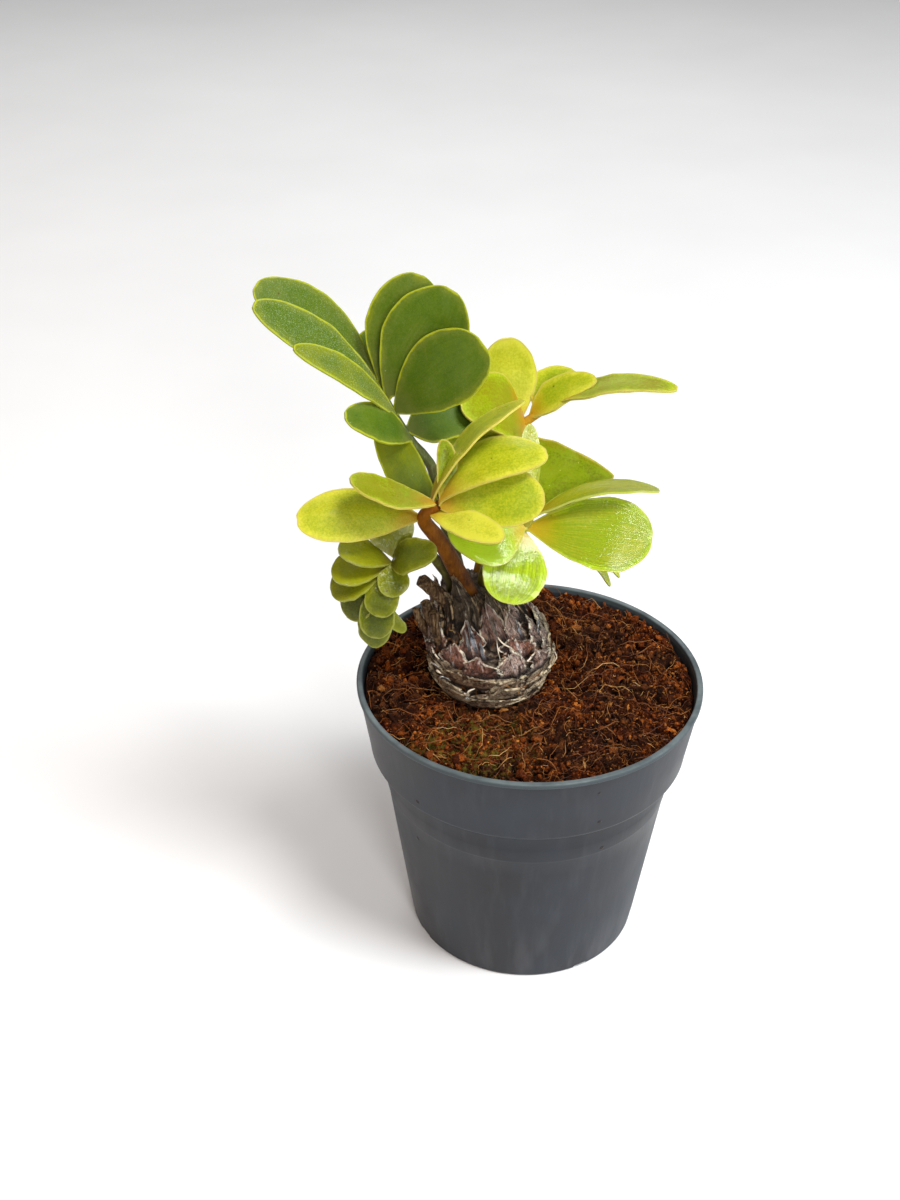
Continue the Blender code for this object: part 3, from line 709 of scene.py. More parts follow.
def papery_scale(bm, rng, height, angle, length, width, lift, point, thickness, torn, curl, tilt=0.1,
                 skew=0.0, ridge=0.0, tone=None, proud=0.35):
    """One old leaf base that grows on the bulb at a height and an angle and points up: a torn sheet, wide at
    its root, that hugs the bulb proud of it and stands off it by lift at its tip. Its two edges curl out, its
    tip side rises by skew from one edge to the other, and a ridge may run up its middle."""
    grid = bmesh.ops.create_grid(bm, x_segments=16, y_segments=12, size=0.5)["verts"]
    warp = Vector((rng.uniform(0, 90), rng.uniform(0, 90), 0))
    lean, curled = rng.gauss(0, tilt), rng.gauss(0.3, 0.4) * curl
    shade = clamped(rng.gauss(0.5, 0.25)) if tone is None else tone
    for vert in grid:
        share, across = vert.co.x + 0.5, vert.co.y * 2
        side = math.copysign(2.0, across)
        tear = rough(warp, share * 3.4, side, 0) + 0.6 * rough(warp, share * 9, side, 9)
        half = max(0.1, 1 - share ** point) ** 0.7 * max(0.45, 1 + torn * tear)
        notch = rough(warp, across * 2.2, 0, 3) + 0.6 * rough(warp, across * 6, 0, 6)
        rise = height + share * (length * (1 + 0.5 * torn * notch) + skew * across)
        radius = bulb_radius(min(max(rise, BULB_FOOT), BULB_TOP))
        crumple = rough(warp, share * 1.3, across * 2.0, 5) + 0.5 * rough(warp, share * 3.0, across * 5.0, 15)
        off = lift * share ** 1.5 + proud + 0.5 * crumple * min(1.0, 0.25 + share)
        crease = max(0.0, 1 - 3.5 * abs(across)) * (1 - share ** 3)
        off += curled * across ** 2 * (0.3 + share) + ridge * crease
        turn = angle + (0.5 * width * half * across + lean * share * length) / max(radius, 6.0)
        set_measures(bm, vert, share, across, shade)
        vert.co = bulb_axis(rise) + outward(turn) * (radius + max(off, -1.0))
    faces = list({face for vert in grid for face in vert.link_faces})
    made = bmesh.ops.extrude_face_region(bm, geom=faces, use_keep_orig=True)["geom"]
    for vert in made:
        if isinstance(vert, bmesh.types.BMVert):
            vert.co -= outward(angle) * thickness


def bulb_body():
    """The bulb's own corky body: broken plates that lie in rough rings, with deep cracks between them."""
    profile = []
    for (low_radius, low), (high_radius, high) in zip(BULB_PROFILE, BULB_PROFILE[1:]):
        steps = max(2, round((high - low) / BODY_PITCH))
        for step in range(steps):
            share = step / steps
            profile.append((low_radius + (high_radius - low_radius) * share, low + (high - low) * share))
    bm = with_measures(turned(profile + [BULB_PROFILE[-1]], BODY_SIDES))
    for vert in bm.verts:
        radius, rise = math.hypot(vert.co.x, vert.co.y), vert.co.z
        angle = math.atan2(vert.co.y, vert.co.x)
        around = Vector((math.cos(angle) * 2.4, math.sin(angle) * 2.4, rise * 0.3))
        around += 0.5 * noise.noise_vector(around * 1.7)
        (first, second, *_), (cell, *_) = noise.voronoi(around)
        crack = 1 - min(1.0, (second - first) / 0.16)
        plate = noise.noise(cell * 9.1)
        push = 0.7 * plate - 1.5 * crack ** 2 + 0.9 * noise.fractal(around * 3.1, 0.8, 2.2, 4) - 0.4
        # The along measure falls in the cracks, where the finish paints shade.
        set_measures(bm, vert, 0.6 - 0.6 * crack, 0.0, clamped(0.5 + 0.9 * plate))
        if radius > 1 and rise > 80:
            vert.co.x *= 1 + push / radius
            vert.co.y *= 1 + push / radius
        vert.co = bulb_axis(rise) + Vector((vert.co.x, vert.co.y, 0))
    cork = bark_finish(
        "caudex_cork", (0.012, 0.006, 0.004), (0.07, 0.036, 0.022), (0.12, 0.085, 0.06), (0.26, 0.2, 0.14),
        (0.2, 0.15, 0.09),
    )
    return piece_from(bm, "caudex_body", cork, sharp=180)


def worn_bands():
    """The lowest leaf bases: four rings of wide, thick bases, worn back to cracked bands with torn tops, and
    some thick flakes and small torn bits over them."""
    rng = random.Random(11)
    bm = with_measures(bmesh.new())
    rings = ((84.5, 8, 4.5), (88.0, 7, 4.6), (91.6, 7, 5.0), (95.0, 8, 5.0))
    for ring, (height, count, tall) in enumerate(rings):
        for index in range(count):
            angle = math.tau * (index + 0.37 * ring + rng.gauss(0, 0.1)) / count
            sweep = 1.6 * math.sin(angle - 2.2)
            papery_scale(
                bm, rng, height + sweep + rng.gauss(0, 0.5), angle, tall * rng.uniform(0.8, 1.15),
                128.0 / count * rng.uniform(0.9, 1.15), rng.uniform(0.5, 1.2), 6.0, 0.8, torn=0.3, curl=0.15,
                tilt=0.02, skew=rng.gauss(0.2, 0.9), proud=1.1 - 0.2 * ring,
            )
    # Thick flakes on the bulb's right side, all of the palest tone: partly painted light, as that side is
    # lit.
    for height, angle, length, width in (
        (96.0, -0.02, 8.5, 9.0), (102.5, 0.16, 8.0, 6.0), (92.5, -0.25, 6.0, 12.0), (97.5, 0.3, 9.0, 9.0),
        (90.0, -0.6, 5.0, 10.0),
    ):
        papery_scale(
            bm, rng, height, angle, length, width, 1.5, 4.0, 0.7, torn=0.35, curl=0.4, skew=1.2, tone=1.0,
            proud=1.5,
        )
    for index in range(TORN_BITS):
        papery_scale(
            bm, rng, rng.uniform(85.0, 98.0), index * GOLDEN_ANGLE, rng.uniform(1.5, 3.5),
            rng.uniform(3.0, 8.0), rng.uniform(0.6, 1.6), rng.uniform(2.0, 5.0), 0.35, torn=0.6, curl=0.5,
            skew=rng.gauss(0, 0.8),
        )
    finish = bark_finish(
        "caudex_band", (0.012, 0.005, 0.002), (0.34, 0.195, 0.11), (0.57, 0.43, 0.28), (0.74, 0.6, 0.42),
        (0.8, 0.66, 0.44), streaky=0.8,
    )
    return piece_from(bm, "caudex_bands", finish, sharp=50)


def papery_scales():
    """The leaf bases over them: broad torn flakes, purple brown to grey, that stand up and curl, with dark
    gaps between them. The best side's are placed one by one, and the others wind round the bulb."""
    rng = random.Random(12)
    bm = with_measures(bmesh.new())
    for height, angle, length, width, lift, point, skew, ridge, tone in (
        (107.6, -1.24, 10.2, 8.4, 1.5, 1.9, 1.2, 1.2, 0.45), (106.6, -0.78, 8.8, 6.2, 2.2, 1.6, -0.8, 1, 0.9),
        (103.4, -0.36, 7.6, 6.6, 2.6, 1.3, 0.9, 1.2, 0.85), (102.6, 0.08, 9.0, 6.5, 2.0, 2.0, 1.0, 0.4, 0.4),
        (102.6, -0.92, 5.6, 11.5, 0.6, 4.0, -1.2, 0.5, 0.1), (98.4, -1.16, 7.4, 8.2, 1.7, 4.5, 0.9, 0.9, 0.9),
        (104.0, -1.74, 9.6, 8.0, 1.1, 1.8, -0.6, 0.7, 0.3), (98.6, -1.66, 6.2, 9.6, 0.9, 4, -1, 0.4, 0.05),
        (100.2, -2.14, 6.8, 9.0, 0.9, 3.4, 0.9, 0.3, 0.15), (97.8, -0.62, 5.6, 9.4, 1.2, 5.0, -0.9, 0.5, 0.6),
        (110.5, -0.42, 6.0, 5.0, 1.0, 1.5, 0.0, 0.5, 0.6), (98.2, -0.1, 8.0, 9.0, 1.2, 4.0, 0.8, 0.0, 0.95),
        (104.0, -2.45, 7.5, 5.5, 1.4, 1.6, 0.0, 0.3, 0.3), (99.0, -2.65, 6.5, 7.0, 1.4, 2.0, 0.5, 0.3, 0.25),
    ):
        papery_scale(
            bm, rng, height, angle, length, width, lift, point, 0.5, torn=0.45, curl=0.9, tilt=0.05,
            skew=skew, ridge=ridge, tone=tone, proud=0.3 + 0.1 * (110 - height),
        )
    first_angle, last_angle = BEST_SIDE
    for index in range(WOUND_SCALES):
        share = index / (WOUND_SCALES - 1)
        angle = (index * GOLDEN_ANGLE + math.pi) % math.tau - math.pi
        if first_angle < angle < last_angle:
            continue
        papery_scale(
            bm, rng, 98.0 + 11.5 * share + rng.gauss(0, 0.7), angle, rng.uniform(5.5, 9.5),
            rng.uniform(5.0, 9.5) * (1 - 0.3 * share), rng.uniform(0.6, 2.4), rng.uniform(1.3, 3.0), 0.45,
            torn=0.45, curl=0.9, skew=rng.gauss(0, 0.7), ridge=rng.uniform(0.0, 0.9), proud=1.3 - 1.0 * share,
        )
    finish = bark_finish(
        "caudex_scale", (0.005, 0.002, 0.002), (0.31, 0.125, 0.078), (0.52, 0.345, 0.27), (0.96, 0.9, 0.85),
        (0.95, 0.84, 0.66), rough=0.5, streaky=0.5,
    )
    return piece_from(bm, "caudex_scales", finish, sharp=50)


def crown_sheaths():
    """The newest dry sheaths: upright blades that stand round the living stalks, the tallest one in front."""
    rng = random.Random(13)
    bm = with_measures(bmesh.new())
    for index in range(CROWN_BLADES):
        papery_scale(
            bm, rng, rng.uniform(108.0, 112.5), index * GOLDEN_ANGLE, rng.uniform(5.0, 10.0),
            rng.uniform(2.5, 6.0), rng.uniform(-2.5, 1.0), rng.uniform(1.0, 2.4), 0.35, torn=0.4, curl=0.9,
        )
    for height, angle, length, width, lift, point, tone in (
        (109.5, -1.8, 18.5, 8.0, 1.9, 1.5, 0.9), (108.0, -2.3, 12.5, 3.0, 1.5, 4.0, 0.3),
        (103.0, -2.85, 12.0, 4.5, 1.6, 3.0, 0.4), (110.0, -1.3, 9.5, 6.0, 0.4, 1.6, 0.1),
        (104.0, -2.55, 10.0, 3.4, 1.2, 3.0, 0.8), (100.0, -3.05, 8.0, 4.0, 1.8, 2.0, 0.5),
    ):
        papery_scale(
            bm, rng, height, angle, length, width, lift, point, 0.7, torn=0.25, curl=0.4, tilt=0.02,
            ridge=0.5, tone=tone,
        )
    # Painted shade: the sheaths' browns are kept dark, so that where they show in the gaps between the scales
    # they read as shade.
    finish = bark_finish(
        "caudex_sheath", (0.006, 0.003, 0.002), (0.062, 0.027, 0.011), (0.105, 0.068, 0.038),
        (0.56, 0.48, 0.36), (0.48, 0.33, 0.18), streaky=0.6,
    )
    return piece_from(bm, "caudex_sheaths", finish, sharp=50)


def on_line(points, place):
    """The point at place along a smooth line, where place 2.5 is halfway from point 2 to point 3."""
    last = len(points) - 1
    index = min(int(place), last - 1)
    share = place - index
    before = points[max(index - 1, 0)]
    start, end = points[index], points[index + 1]
    after = points[min(index + 2, last)]
    return 0.5 * (
        2 * start
        + (end - before) * share
        + (2 * before - 5 * start + 4 * end - after) * share ** 2
        + (3 * start - before - 3 * end + after) * share ** 3
    )


def smooth_line(points, steps):
    """Many points on the smooth line through a few, with steps to a span."""
    line = [Vector(point) for point in points]
    return [on_line(line, step / steps) for step in range((len(line) - 1) * steps + 1)]


def dry_stalk_finish():
    """Dried leaf stalk: brown and ribbed along its length, pale where the bark has split."""
    made = Finish("dry_stalk", 0.8, 0.2)
    ribs = made.grain(1500.0, 5.0, 0.75, place=made.stretched(0.15))
    made.tint = ribs.ramp(
        (0.36, (0.014, 0.007, 0.003)), (0.52, (0.09, 0.046, 0.018)), (0.7, (0.36, 0.24, 0.13)),
    )
    made.over(made.grain(300.0, 5.0, 0.7).eased(0.55, 0.66, 0.0, 0.7), (0.27, 0.155, 0.072))
    made.bumps((ribs, 0.6), (made.grain(500.0, 4.0, 0.7), 0.5))
    return made.done()


def dried_stalks():
    """Stumps of old leaf stalks: one cut long, the others broken off low."""
    lines = [(smooth_line(OLD_STALK, 10), (2.4, 2.0), 0.5)]
    lines += [(smooth_line(points, 10), radii, 0.4) for points, radii in SIDE_STUBS]
    stumps = strands("caudex_dried_stalks", lines, dry_stalk_finish(), sides=20, ends=0)
    for vert in stumps.data.vertices:
        vert.co += 0.55 * MM * noise.noise_vector(vert.co / MM * 0.45)
    return stumps


def bark_fibres():
    """Loose fibres that curl over the old leaf bases and stay close to them."""
    rng = random.Random(14)
    lines = []
    for _ in range(BARK_FIBRES):
        rise, angle = rng.uniform(86.0, 112.0), rng.uniform(0, math.tau)
        heading = Vector((rng.gauss(0, 0.5), rng.gauss(0, 0.5), rng.gauss(0.4, 0.8))).normalized()
        point = bulb_axis(rise) + outward(angle) * (bulb_radius(rise) + rng.uniform(0.2, 1.0))
        length, points = rng.uniform(1.5, 6.0), []
        for _ in range(BARK_FIBRE_STEPS + 1):
            points.append(point.copy())
            heading = (heading + 0.35 * random_vector(rng)).normalized()
            point = point + heading * (length / BARK_FIBRE_STEPS)
            flat = point - bulb_axis(point.z)
            reach = math.hypot(flat.x, flat.y)
            nearest = bulb_radius(min(max(point.z, BULB_FOOT), BULB_TOP + 1)) + 0.7
            farthest = nearest + 1.6
            if reach > 0 and not nearest <= reach <= farthest:
                wanted = nearest if reach < nearest else farthest
                point += Vector((flat.x, flat.y, 0)) / reach * (wanted - reach)
        lines.append((points, (rng.uniform(0.05, 0.13),) * 2, clamped(rng.gauss(0.55, 0.2))))
    return strands("caudex_fibres", lines, coir_fibre_finish("caudex_fibre"))


def papery_bits():
    """A few torn strips of bleached skin, blue white and straw coloured, that cling to the bulb."""
    rng = random.Random(15)
    bm = with_measures(bmesh.new())
    for height, angle, length, width, lift, skew, tone in (
        (106.0, -1.7, 7.5, 1.5, 1.9, -0.8, 0.9), (104.5, -1.58, 6.0, 0.9, 1.9, -1.2, 1.0),
        (106.5, -1.8, 6.0, 0.8, 2.2, -0.4, 0.6), (101.5, -1.08, 8.0, 0.6, 1.6, -0.5, 0.0),
        (109.0, -1.22, 7.0, 0.7, 2.3, 0.2, 0.3), (105.0, -0.26, 4.5, 1.2, 2.9, 0.3, 0.8),
        (108.0, -0.7, 5.0, 0.9, 2.6, 0.3, 0.7), (94.5, -2.34, 1.8, 3.4, 2.4, 1.2, 0.1),
        (97.0, -2.55, 2.0, 2.8, 1.8, 0.8, 0.2), (90.0, -1.95, 2.4, 1.1, 1.9, 0.5, 0.0),
        (104.0, 0.9, 6.0, 1.8, 2.0, 0.0, 0.5), (103.0, 2.4, 5.0, 1.6, 2.0, 0.0, 0.4),
    ):
        papery_scale(
            bm, rng, height, angle, length, width, lift, 3.0, 0.2, torn=0.4, curl=0.4, tilt=0.05, skew=skew,
            tone=tone, proud=1.5,
        )
    finish = bark_finish(
        "caudex_skin", (0.06, 0.05, 0.05), (0.62, 0.5, 0.33), (0.5, 0.53, 0.6), (0.92, 0.95, 1.0),
        (0.9, 0.88, 0.82), rough=0.4,
    )
    return piece_from(bm, "caudex_skin", finish, sharp=50)


def peelings():
    """Curled ends of torn skin: a long pale one that arches over the scales, and short ones below it. Each
    place is an angle, a height and how far off the bulb it lies."""
    lines = []
    for places, thick, shade in (
        (((-1.24, 111.0, 0.6), (-1.17, 108.6, 2.2), (-1.06, 107.0, 2.6), (-0.98, 104.3, 1.7)), 0.26, 1.0),
        (((-1.25, 109.6, 1.8), (-1.3, 107.0, 2.4), (-1.31, 104.3, 1.6)), 0.14, 0.7),
        (((-1.99, 93.0, 2.6), (-1.93, 93.2, 3.2), (-1.89, 95.0, 3.4), (-1.81, 96.0, 2.9)), 0.42, 1.0),
        (((-2.5, 96.4, 2.2), (-2.45, 97.6, 3.0), (-2.37, 97.4, 2.8)), 0.45, 1.0),
        (((-0.35, 95.5, 2.2), (-0.25, 97.2, 3.2), (-0.2, 99.5, 2.6)), 0.22, 0.9),
        (((1.2, 101.0, 1.8), (1.32, 103.5, 3.0), (1.45, 104.0, 2.2)), 0.26, 0.9),
    ):
        points = [
            bulb_axis(height) + outward(angle) * (bulb_radius(height) + off) for angle, height, off in places
        ]
        lines.append((smooth_line(points, 8), (thick, 0.6 * thick), shade))
    made = Finish("caudex_peel", 0.55, 0.3)
    dust = made.grain(900.0, 4.0, 0.7).eased(0.35, 0.65, -0.3, 0.3)
    made.tint = (made.measure("shade") + dust).ramp(
        (0.2, (0.1, 0.06, 0.035)), (0.6, (0.42, 0.32, 0.22)), (1.0, (0.8, 0.7, 0.54)),
    )
    made.bumps((dust, 0.2))
    return strands("caudex_peelings", lines, made.done(), sides=8)


# The vector noise of the body and the stumps starts from the clock unless it is seeded.
noise.seed_set(NOISE_SEED)
declare(bulb_body(), "caudex")
for part in (
    worn_bands(), papery_scales(), crown_sheaths(), dried_stalks(), bark_fibres(), papery_bits(), peelings(),
):
    declare(part)


# The upright frond: the oldest and tallest, with leathery grey-green leaflets on both sides of a scurfy
# stalk. A leaflet is one thick blade with fine parallel veins, a pale yellow margin and no midrib.

BLADE_THICKNESS = 0.6
BLADE_STEPS_ALONG = 30
BLADE_STEPS_ACROSS = 14
UPRIGHT_STALK = [
    (-20.5, 8, 112), (-21.5, 9, 122), (-24, 9, 133), (-27.8, 9, 146.5), (-29.2, 8.5, 156.5),
    (-31.8, 7.5, 162), (-35, 6, 167), (-39, 6, 174), (-42, 8, 179), (-44.5, 11, 183.5), (-45.5, 14, 187),
]
UPRIGHT_LEAFLETS = [
    (2.8, (-43.5, 3, 176.5), 11, (0.1, -0.85, 0.5), dict(arch=3, bow=-2.6, fold=1.4, crease=0.1, age=0.47)),
    (6.0, (-53, -6, 181), 11.5, (-0.1, -0.6, 0.8), dict(arch=2.5, age=0.73)),
    (6.5, (-15.3, 15, 169.5), 14, (0.1, -0.6, 0.8), dict(bow=-2.0, belly=0.36, age=0.8)),
    (6.9, (-66.0, -4.8, 200.3), 9, (0.5, -0.4, 0.75), dict(arch=3.0, bow=1.0, age=0.5, scurf=0.8)),
    (7.3, (-15.5, -2.7, 200.8), 20.5, (0.1, -0.85, 0.5),
     dict(arch=1.5, belly=0.64, bow=-1.0, taper=0.44, age=0.7)),
    (8.0, (-76.5, 0, 210.5), 13, (0.35, -0.5, 0.75), dict(arch=1.5, bow=1.7, age=0.66, scurf=1.0)),
    (8.1, (-24, 6.4, 212.4), 22, (0.15, -0.85, 0.5), dict(arch=1.5, age=0.68)),
    (9.2, (-77.0, 10.8, 211.5), 16.5, (0.3, -0.6, 0.7), dict(arch=1.5, bow=1.8, age=0.65, scurf=0.5)),
    (8.7, (-33, 14.8, 213.4), 20, (0.2, -0.85, 0.5), dict(arch=1.5, age=0.65)),
    (9.6, (-47, 26, 192), 9, (0.2, -0.7, 0.6), dict(age=0.7)),
]


def half_width(share, belly, taper):
    """Half a blade's width at a share of its length, as a share of the widest: narrow at its root, widest
    at belly, and round at its tip with a taper of 0.5, or pointed with more."""
    if share < belly:
        return max(0.12, math.sin(0.5 * math.pi * share / belly))
    beyond = min(1.0, (share - belly) / (1.005 - belly))
    return (1 - beyond ** 2) ** taper


def leaflet(bm, rng, root, tip, width, facing, arch=0.0, belly=0.6, bow=0.0, taper=0.5, fold=0.0,
            crease=0.0, age=0.5, scurf=0.0):
    """One leaflet from root to tip. facing is where its upper side looks, arch lifts its middle line that
    way, bow bends it sideways, and fold creases it lengthways at crease."""
    along = tip - root
    length = along.length
    along.normalize()
    up = Vector(facing)
    up = (up - along * up.dot(along)).normalized()
    side = along.cross(up)
    layers = bm.verts.layers.float
    warp = Vector((rng.uniform(0, 90), rng.uniform(0, 90), 0))
    tone = rng.random()
    grid = bmesh.ops.create_grid(
        bm, size=0.5, x_segments=BLADE_STEPS_ALONG, y_segments=BLADE_STEPS_ACROSS,
    )["verts"]
    for vert in grid:
        share = 1 - (0.5 - vert.co.x) ** 1.5 if vert.co.x < 0.5 else 1.0
        across = math.sin(math.pi * vert.co.y)
        half = half_width(share, belly, taper)
        ragged = 1 + 0.05 * rough(warp, share * 7, across, 2) * abs(across)
        hump = 4 * share * (1 - share)
        ripple = 0.45 * rough(warp, share * 3.2, across * 1.1, 4)
        ripple += 0.35 * rough(warp, share * 9, across * 2.5, 6) * abs(across) ** 2
        lift = arch * hump - fold * abs(across - crease) * half + ripple * hump
        sideways = 0.5 * width * half * across * ragged + bow * hump
        set_measures(bm, vert, share, across, tone)
        vert[layers["rim"]] = min((1 - abs(across)) * half * width / 2, (1 - share) * length)
        vert[layers["age"]], vert[layers["scurf"]] = age, scurf
        vert.co = root + along * (length * share) + side * sideways + up * lift
    faces = list({face for vert in grid for face in vert.link_faces})
    bm.normal_update()
    bmesh.ops.solidify(bm, geom=faces, thickness=BLADE_THICKNESS)


def leaf_finish(name, ages, margin, base, veins=0.02, gloss=0.4, shine=0.06, fuzz=0.0, dimple=0.08,
                glow=0.15, painted_sheen=0.03, stripes=0.03, mottle=0.04, dots=(0.3, 0.38, 0.22)):
    """Living leaf: its colour follows the leaflet's age and turns paler towards its margin, with fine veins
    that fan from its root, a warm base, and pale scurf and dark specks where it has them. Pale milky patches
    laid over it are painted sheen."""
    made = Finish(name, gloss, shine)
    along, across, tone = (made.measure(one) for one in ("along", "across", "tone"))
    rim, age, scurf = (made.measure(one) for one in ("rim", "age", "scurf"))
    vein = made.grain(2.0, 3.0, 0.6, 0.15, made.joined(across * 14.0, along * 0.7, tone * 50.0))
    blotch = made.grain(110.0, 4.0, 0.6)
    fine = made.grain(1500.0, 3.0, 0.65)
    uneven = made.grain(380.0, 4.0, 0.65).eased(0.3, 0.7, -1.0, 1.0)
    shade = age + blotch.eased(0.3, 0.7, -0.07, 0.07) + vein.eased(0.35, 0.65, -stripes, stripes)
    shade = shade + fine.eased(0.38, 0.62, -mottle, mottle) - (rim + uneven * 0.5).eased(3.2, 0.2, 0.0, 0.22)
    made.tint = shade.ramp(*ages)
    made.over((along + uneven * 0.03).eased(0.36, 0.03, 0.0, 0.85), base)
    made.over((rim + uneven * 0.16).eased(0.75, 0.15, 0.0, 0.8), margin)
    # Painted sheen: pale milky patches in the dots colour.
    made.over(made.grain(60.0, 4.0, 0.7, 0.8).eased(0.4, 0.7, 0.0, painted_sheen), dots)
    powder = made.grain(3600.0, 3.0, 0.6).eased(0.5, 0.7) * scurf.eased(0.0, 1.0, 0.08, 0.6)
    made.over(powder, dots)
    made.over(made.specks(420.0, 1, 0.8, 0.1, 0.04, 0.55), dots)
    made.over(made.specks(170.0, 0, 0.72, 0.075, 0.03, 0.75), (0.07, 0.035, 0.012))
    for aspect, value in (
        ("Roughness", blotch.eased(0.3, 0.7, gloss - 0.06, gloss + 0.1)), ("Sheen Weight", fuzz),
        ("Sheen Roughness", 0.45), ("Sheen Tint", (1.0, 0.93, 0.45)), ("Subsurface Weight", glow),
        ("Subsurface Radius", (0.6, 1.0, 0.2)), ("Subsurface Scale", 1.0 * MM),
    ):
        made.set(aspect, value)
    made.bumps((vein, veins), (made.grain(620.0, 3.0, 0.6), dimple), (fine, 0.015), (powder, 0.02))
    return made.done()


def stalk_finish(name, low, high, scurf):
    """Living leaf stalk: from its low colour at its foot to its high one at its tip, faintly ribbed and
    dusted with pale scurf."""
    made = Finish(name, 0.5, 0.1)
    ribs = made.grain(1700.0, 4.0, 0.65, place=made.stretched(0.2))
    blotch = made.grain(220.0, 4.0, 0.6)
    made.tint = (made.measure("along") + blotch.eased(0.3, 0.7, -0.2, 0.2)).ramp((0.1, low), (0.75, high))
    made.over(ribs.eased(0.5, 0.75, 0.0, 0.45), scurf)
    made.over(ribs.eased(0.45, 0.28, 0.0, 0.5), tuple(0.35 * value for value in low))
    made.bumps((ribs, 0.25), (blotch, 0.2))
    return made.done()


def frond(name, stalk, radii, leaflets, seed, leaf, stem):
    """One frond: its leaflets as one piece, which stands for the frond's solid, and its stalk."""
    rng = random.Random(seed)
    line = [Vector(point) for point in stalk]
    bm = with_measures(bmesh.new())
    for layer in ("rim", "age", "scurf"):
        bm.verts.layers.float.new(layer)
    for place, tip, width, facing, looks in leaflets:
        leaflet(bm, rng, on_line(line, place), Vector(tip), width, facing, **looks)
    declare(piece_from(bm, name + "_leaflets", leaf, sharp=50), "frond_" + name)
    declare(strands(name + "_stalk", [(smooth_line(stalk, 8), radii, 0.5)], stem, sides=16, ends=0))


UPRIGHT_AGES = (
    (0.35, (0.15, 0.175, 0.003)), (0.55, (0.094, 0.13, 0.01)), (0.68, (0.068, 0.113, 0.003)),
    (0.82, (0.048, 0.09, 0.003)), (1.0, (0.026, 0.056, 0.003)),
)
frond(
    "upright", UPRIGHT_STALK, (1.9, 0.5), UPRIGHT_LEAFLETS, 21,
    leaf_finish("upright_leaf", UPRIGHT_AGES, (0.35, 0.37, 0.016), (0.13, 0.15, 0.03)),
    stalk_finish("upright_stalk", (0.08, 0.056, 0.008), (0.12, 0.15, 0.05), (0.28, 0.33, 0.18)),
)


# The front frond: young and lime yellow, with short broad leaflets that are still fuzzy, on a thick
# orange-brown stalk that leans left.

FRONT_STALK = [
    (-17.5, 2.5, 112), (-19, 1, 120.5), (-23, -2, 131), (-27, -5, 141), (-31.5, -8, 149.5),
    (-30, -11, 154.5), (-27, -12, 157),
]
FRONT_LEAFLETS = [
    (4.1, (-66.5, -14, 153), 16, (-0.1, -0.6, 0.8),
     dict(arch=2.0, bow=1.5, fold=2.2, crease=0.1, age=0.3, scurf=0.6)),
    (5.8, (-51.5, -16, 166.5), 15, (0.3, 0.0, 0.95), dict(arch=-0.5, age=0.62, scurf=0.3)),
    (4.7, (-10, -27, 154.5), 9.5, (0.1, -0.5, 0.85), dict(arch=1.5, age=0.12, scurf=0.5)),
    (5.5, (1.5, -16, 161.5), 17, (0.1, -0.8, 0.6), dict(arch=1.5, bow=-1.0, age=0.33, scurf=0.15)),
    (5.8, (2, -8, 170.8), 17, (-0.1, -0.2, 0.97),
     dict(arch=6.0, bow=-2.0, fold=1.2, crease=-0.2, age=0.3, scurf=0.25)),
    (5.1, (-4, 2, 181.5), 17, (-0.66, 0.12, 0.75), dict(arch=5.0, age=0.34)),
    # The small last leaflet's old age gives it a dark colour: painted shade, for the shade of the leaflets
    # above it.
    (5.9, (-26, -3, 172.5), 6, (-0.1, -0.8, 0.5), dict(bow=1.5, age=0.95)),
]
YOUNG_AGES = (
    (0.0, (0.51, 0.49, 0.036)), (0.25, (0.35, 0.36, 0.01)), (0.42, (0.225, 0.295, 0.003)),
    (0.6, (0.19, 0.172, 0.001)), (0.74, (0.19, 0.265, 0.002)), (0.95, (0.11, 0.13, 0.001)),
)
frond(
    "front", FRONT_STALK, (2.8, 1.4), FRONT_LEAFLETS, 22,
    leaf_finish(
        "front_leaf", YOUNG_AGES, (0.44, 0.36, 0.07), (0.36, 0.16, 0.004), gloss=0.32, shine=0.16,
        dimple=0.12, fuzz=0.03, glow=0.35, painted_sheen=0.12, mottle=0.08, dots=(0.5, 0.5, 0.09),
    ),
    stalk_finish("front_stalk", (0.045, 0.012, 0.002), (0.195, 0.062, 0.002), (0.23, 0.09, 0.008)),
)


# The drooping frond: small, old and olive, with many short leaflets that lie over one another like roof
# tiles along a thin stalk that curls down on the left.

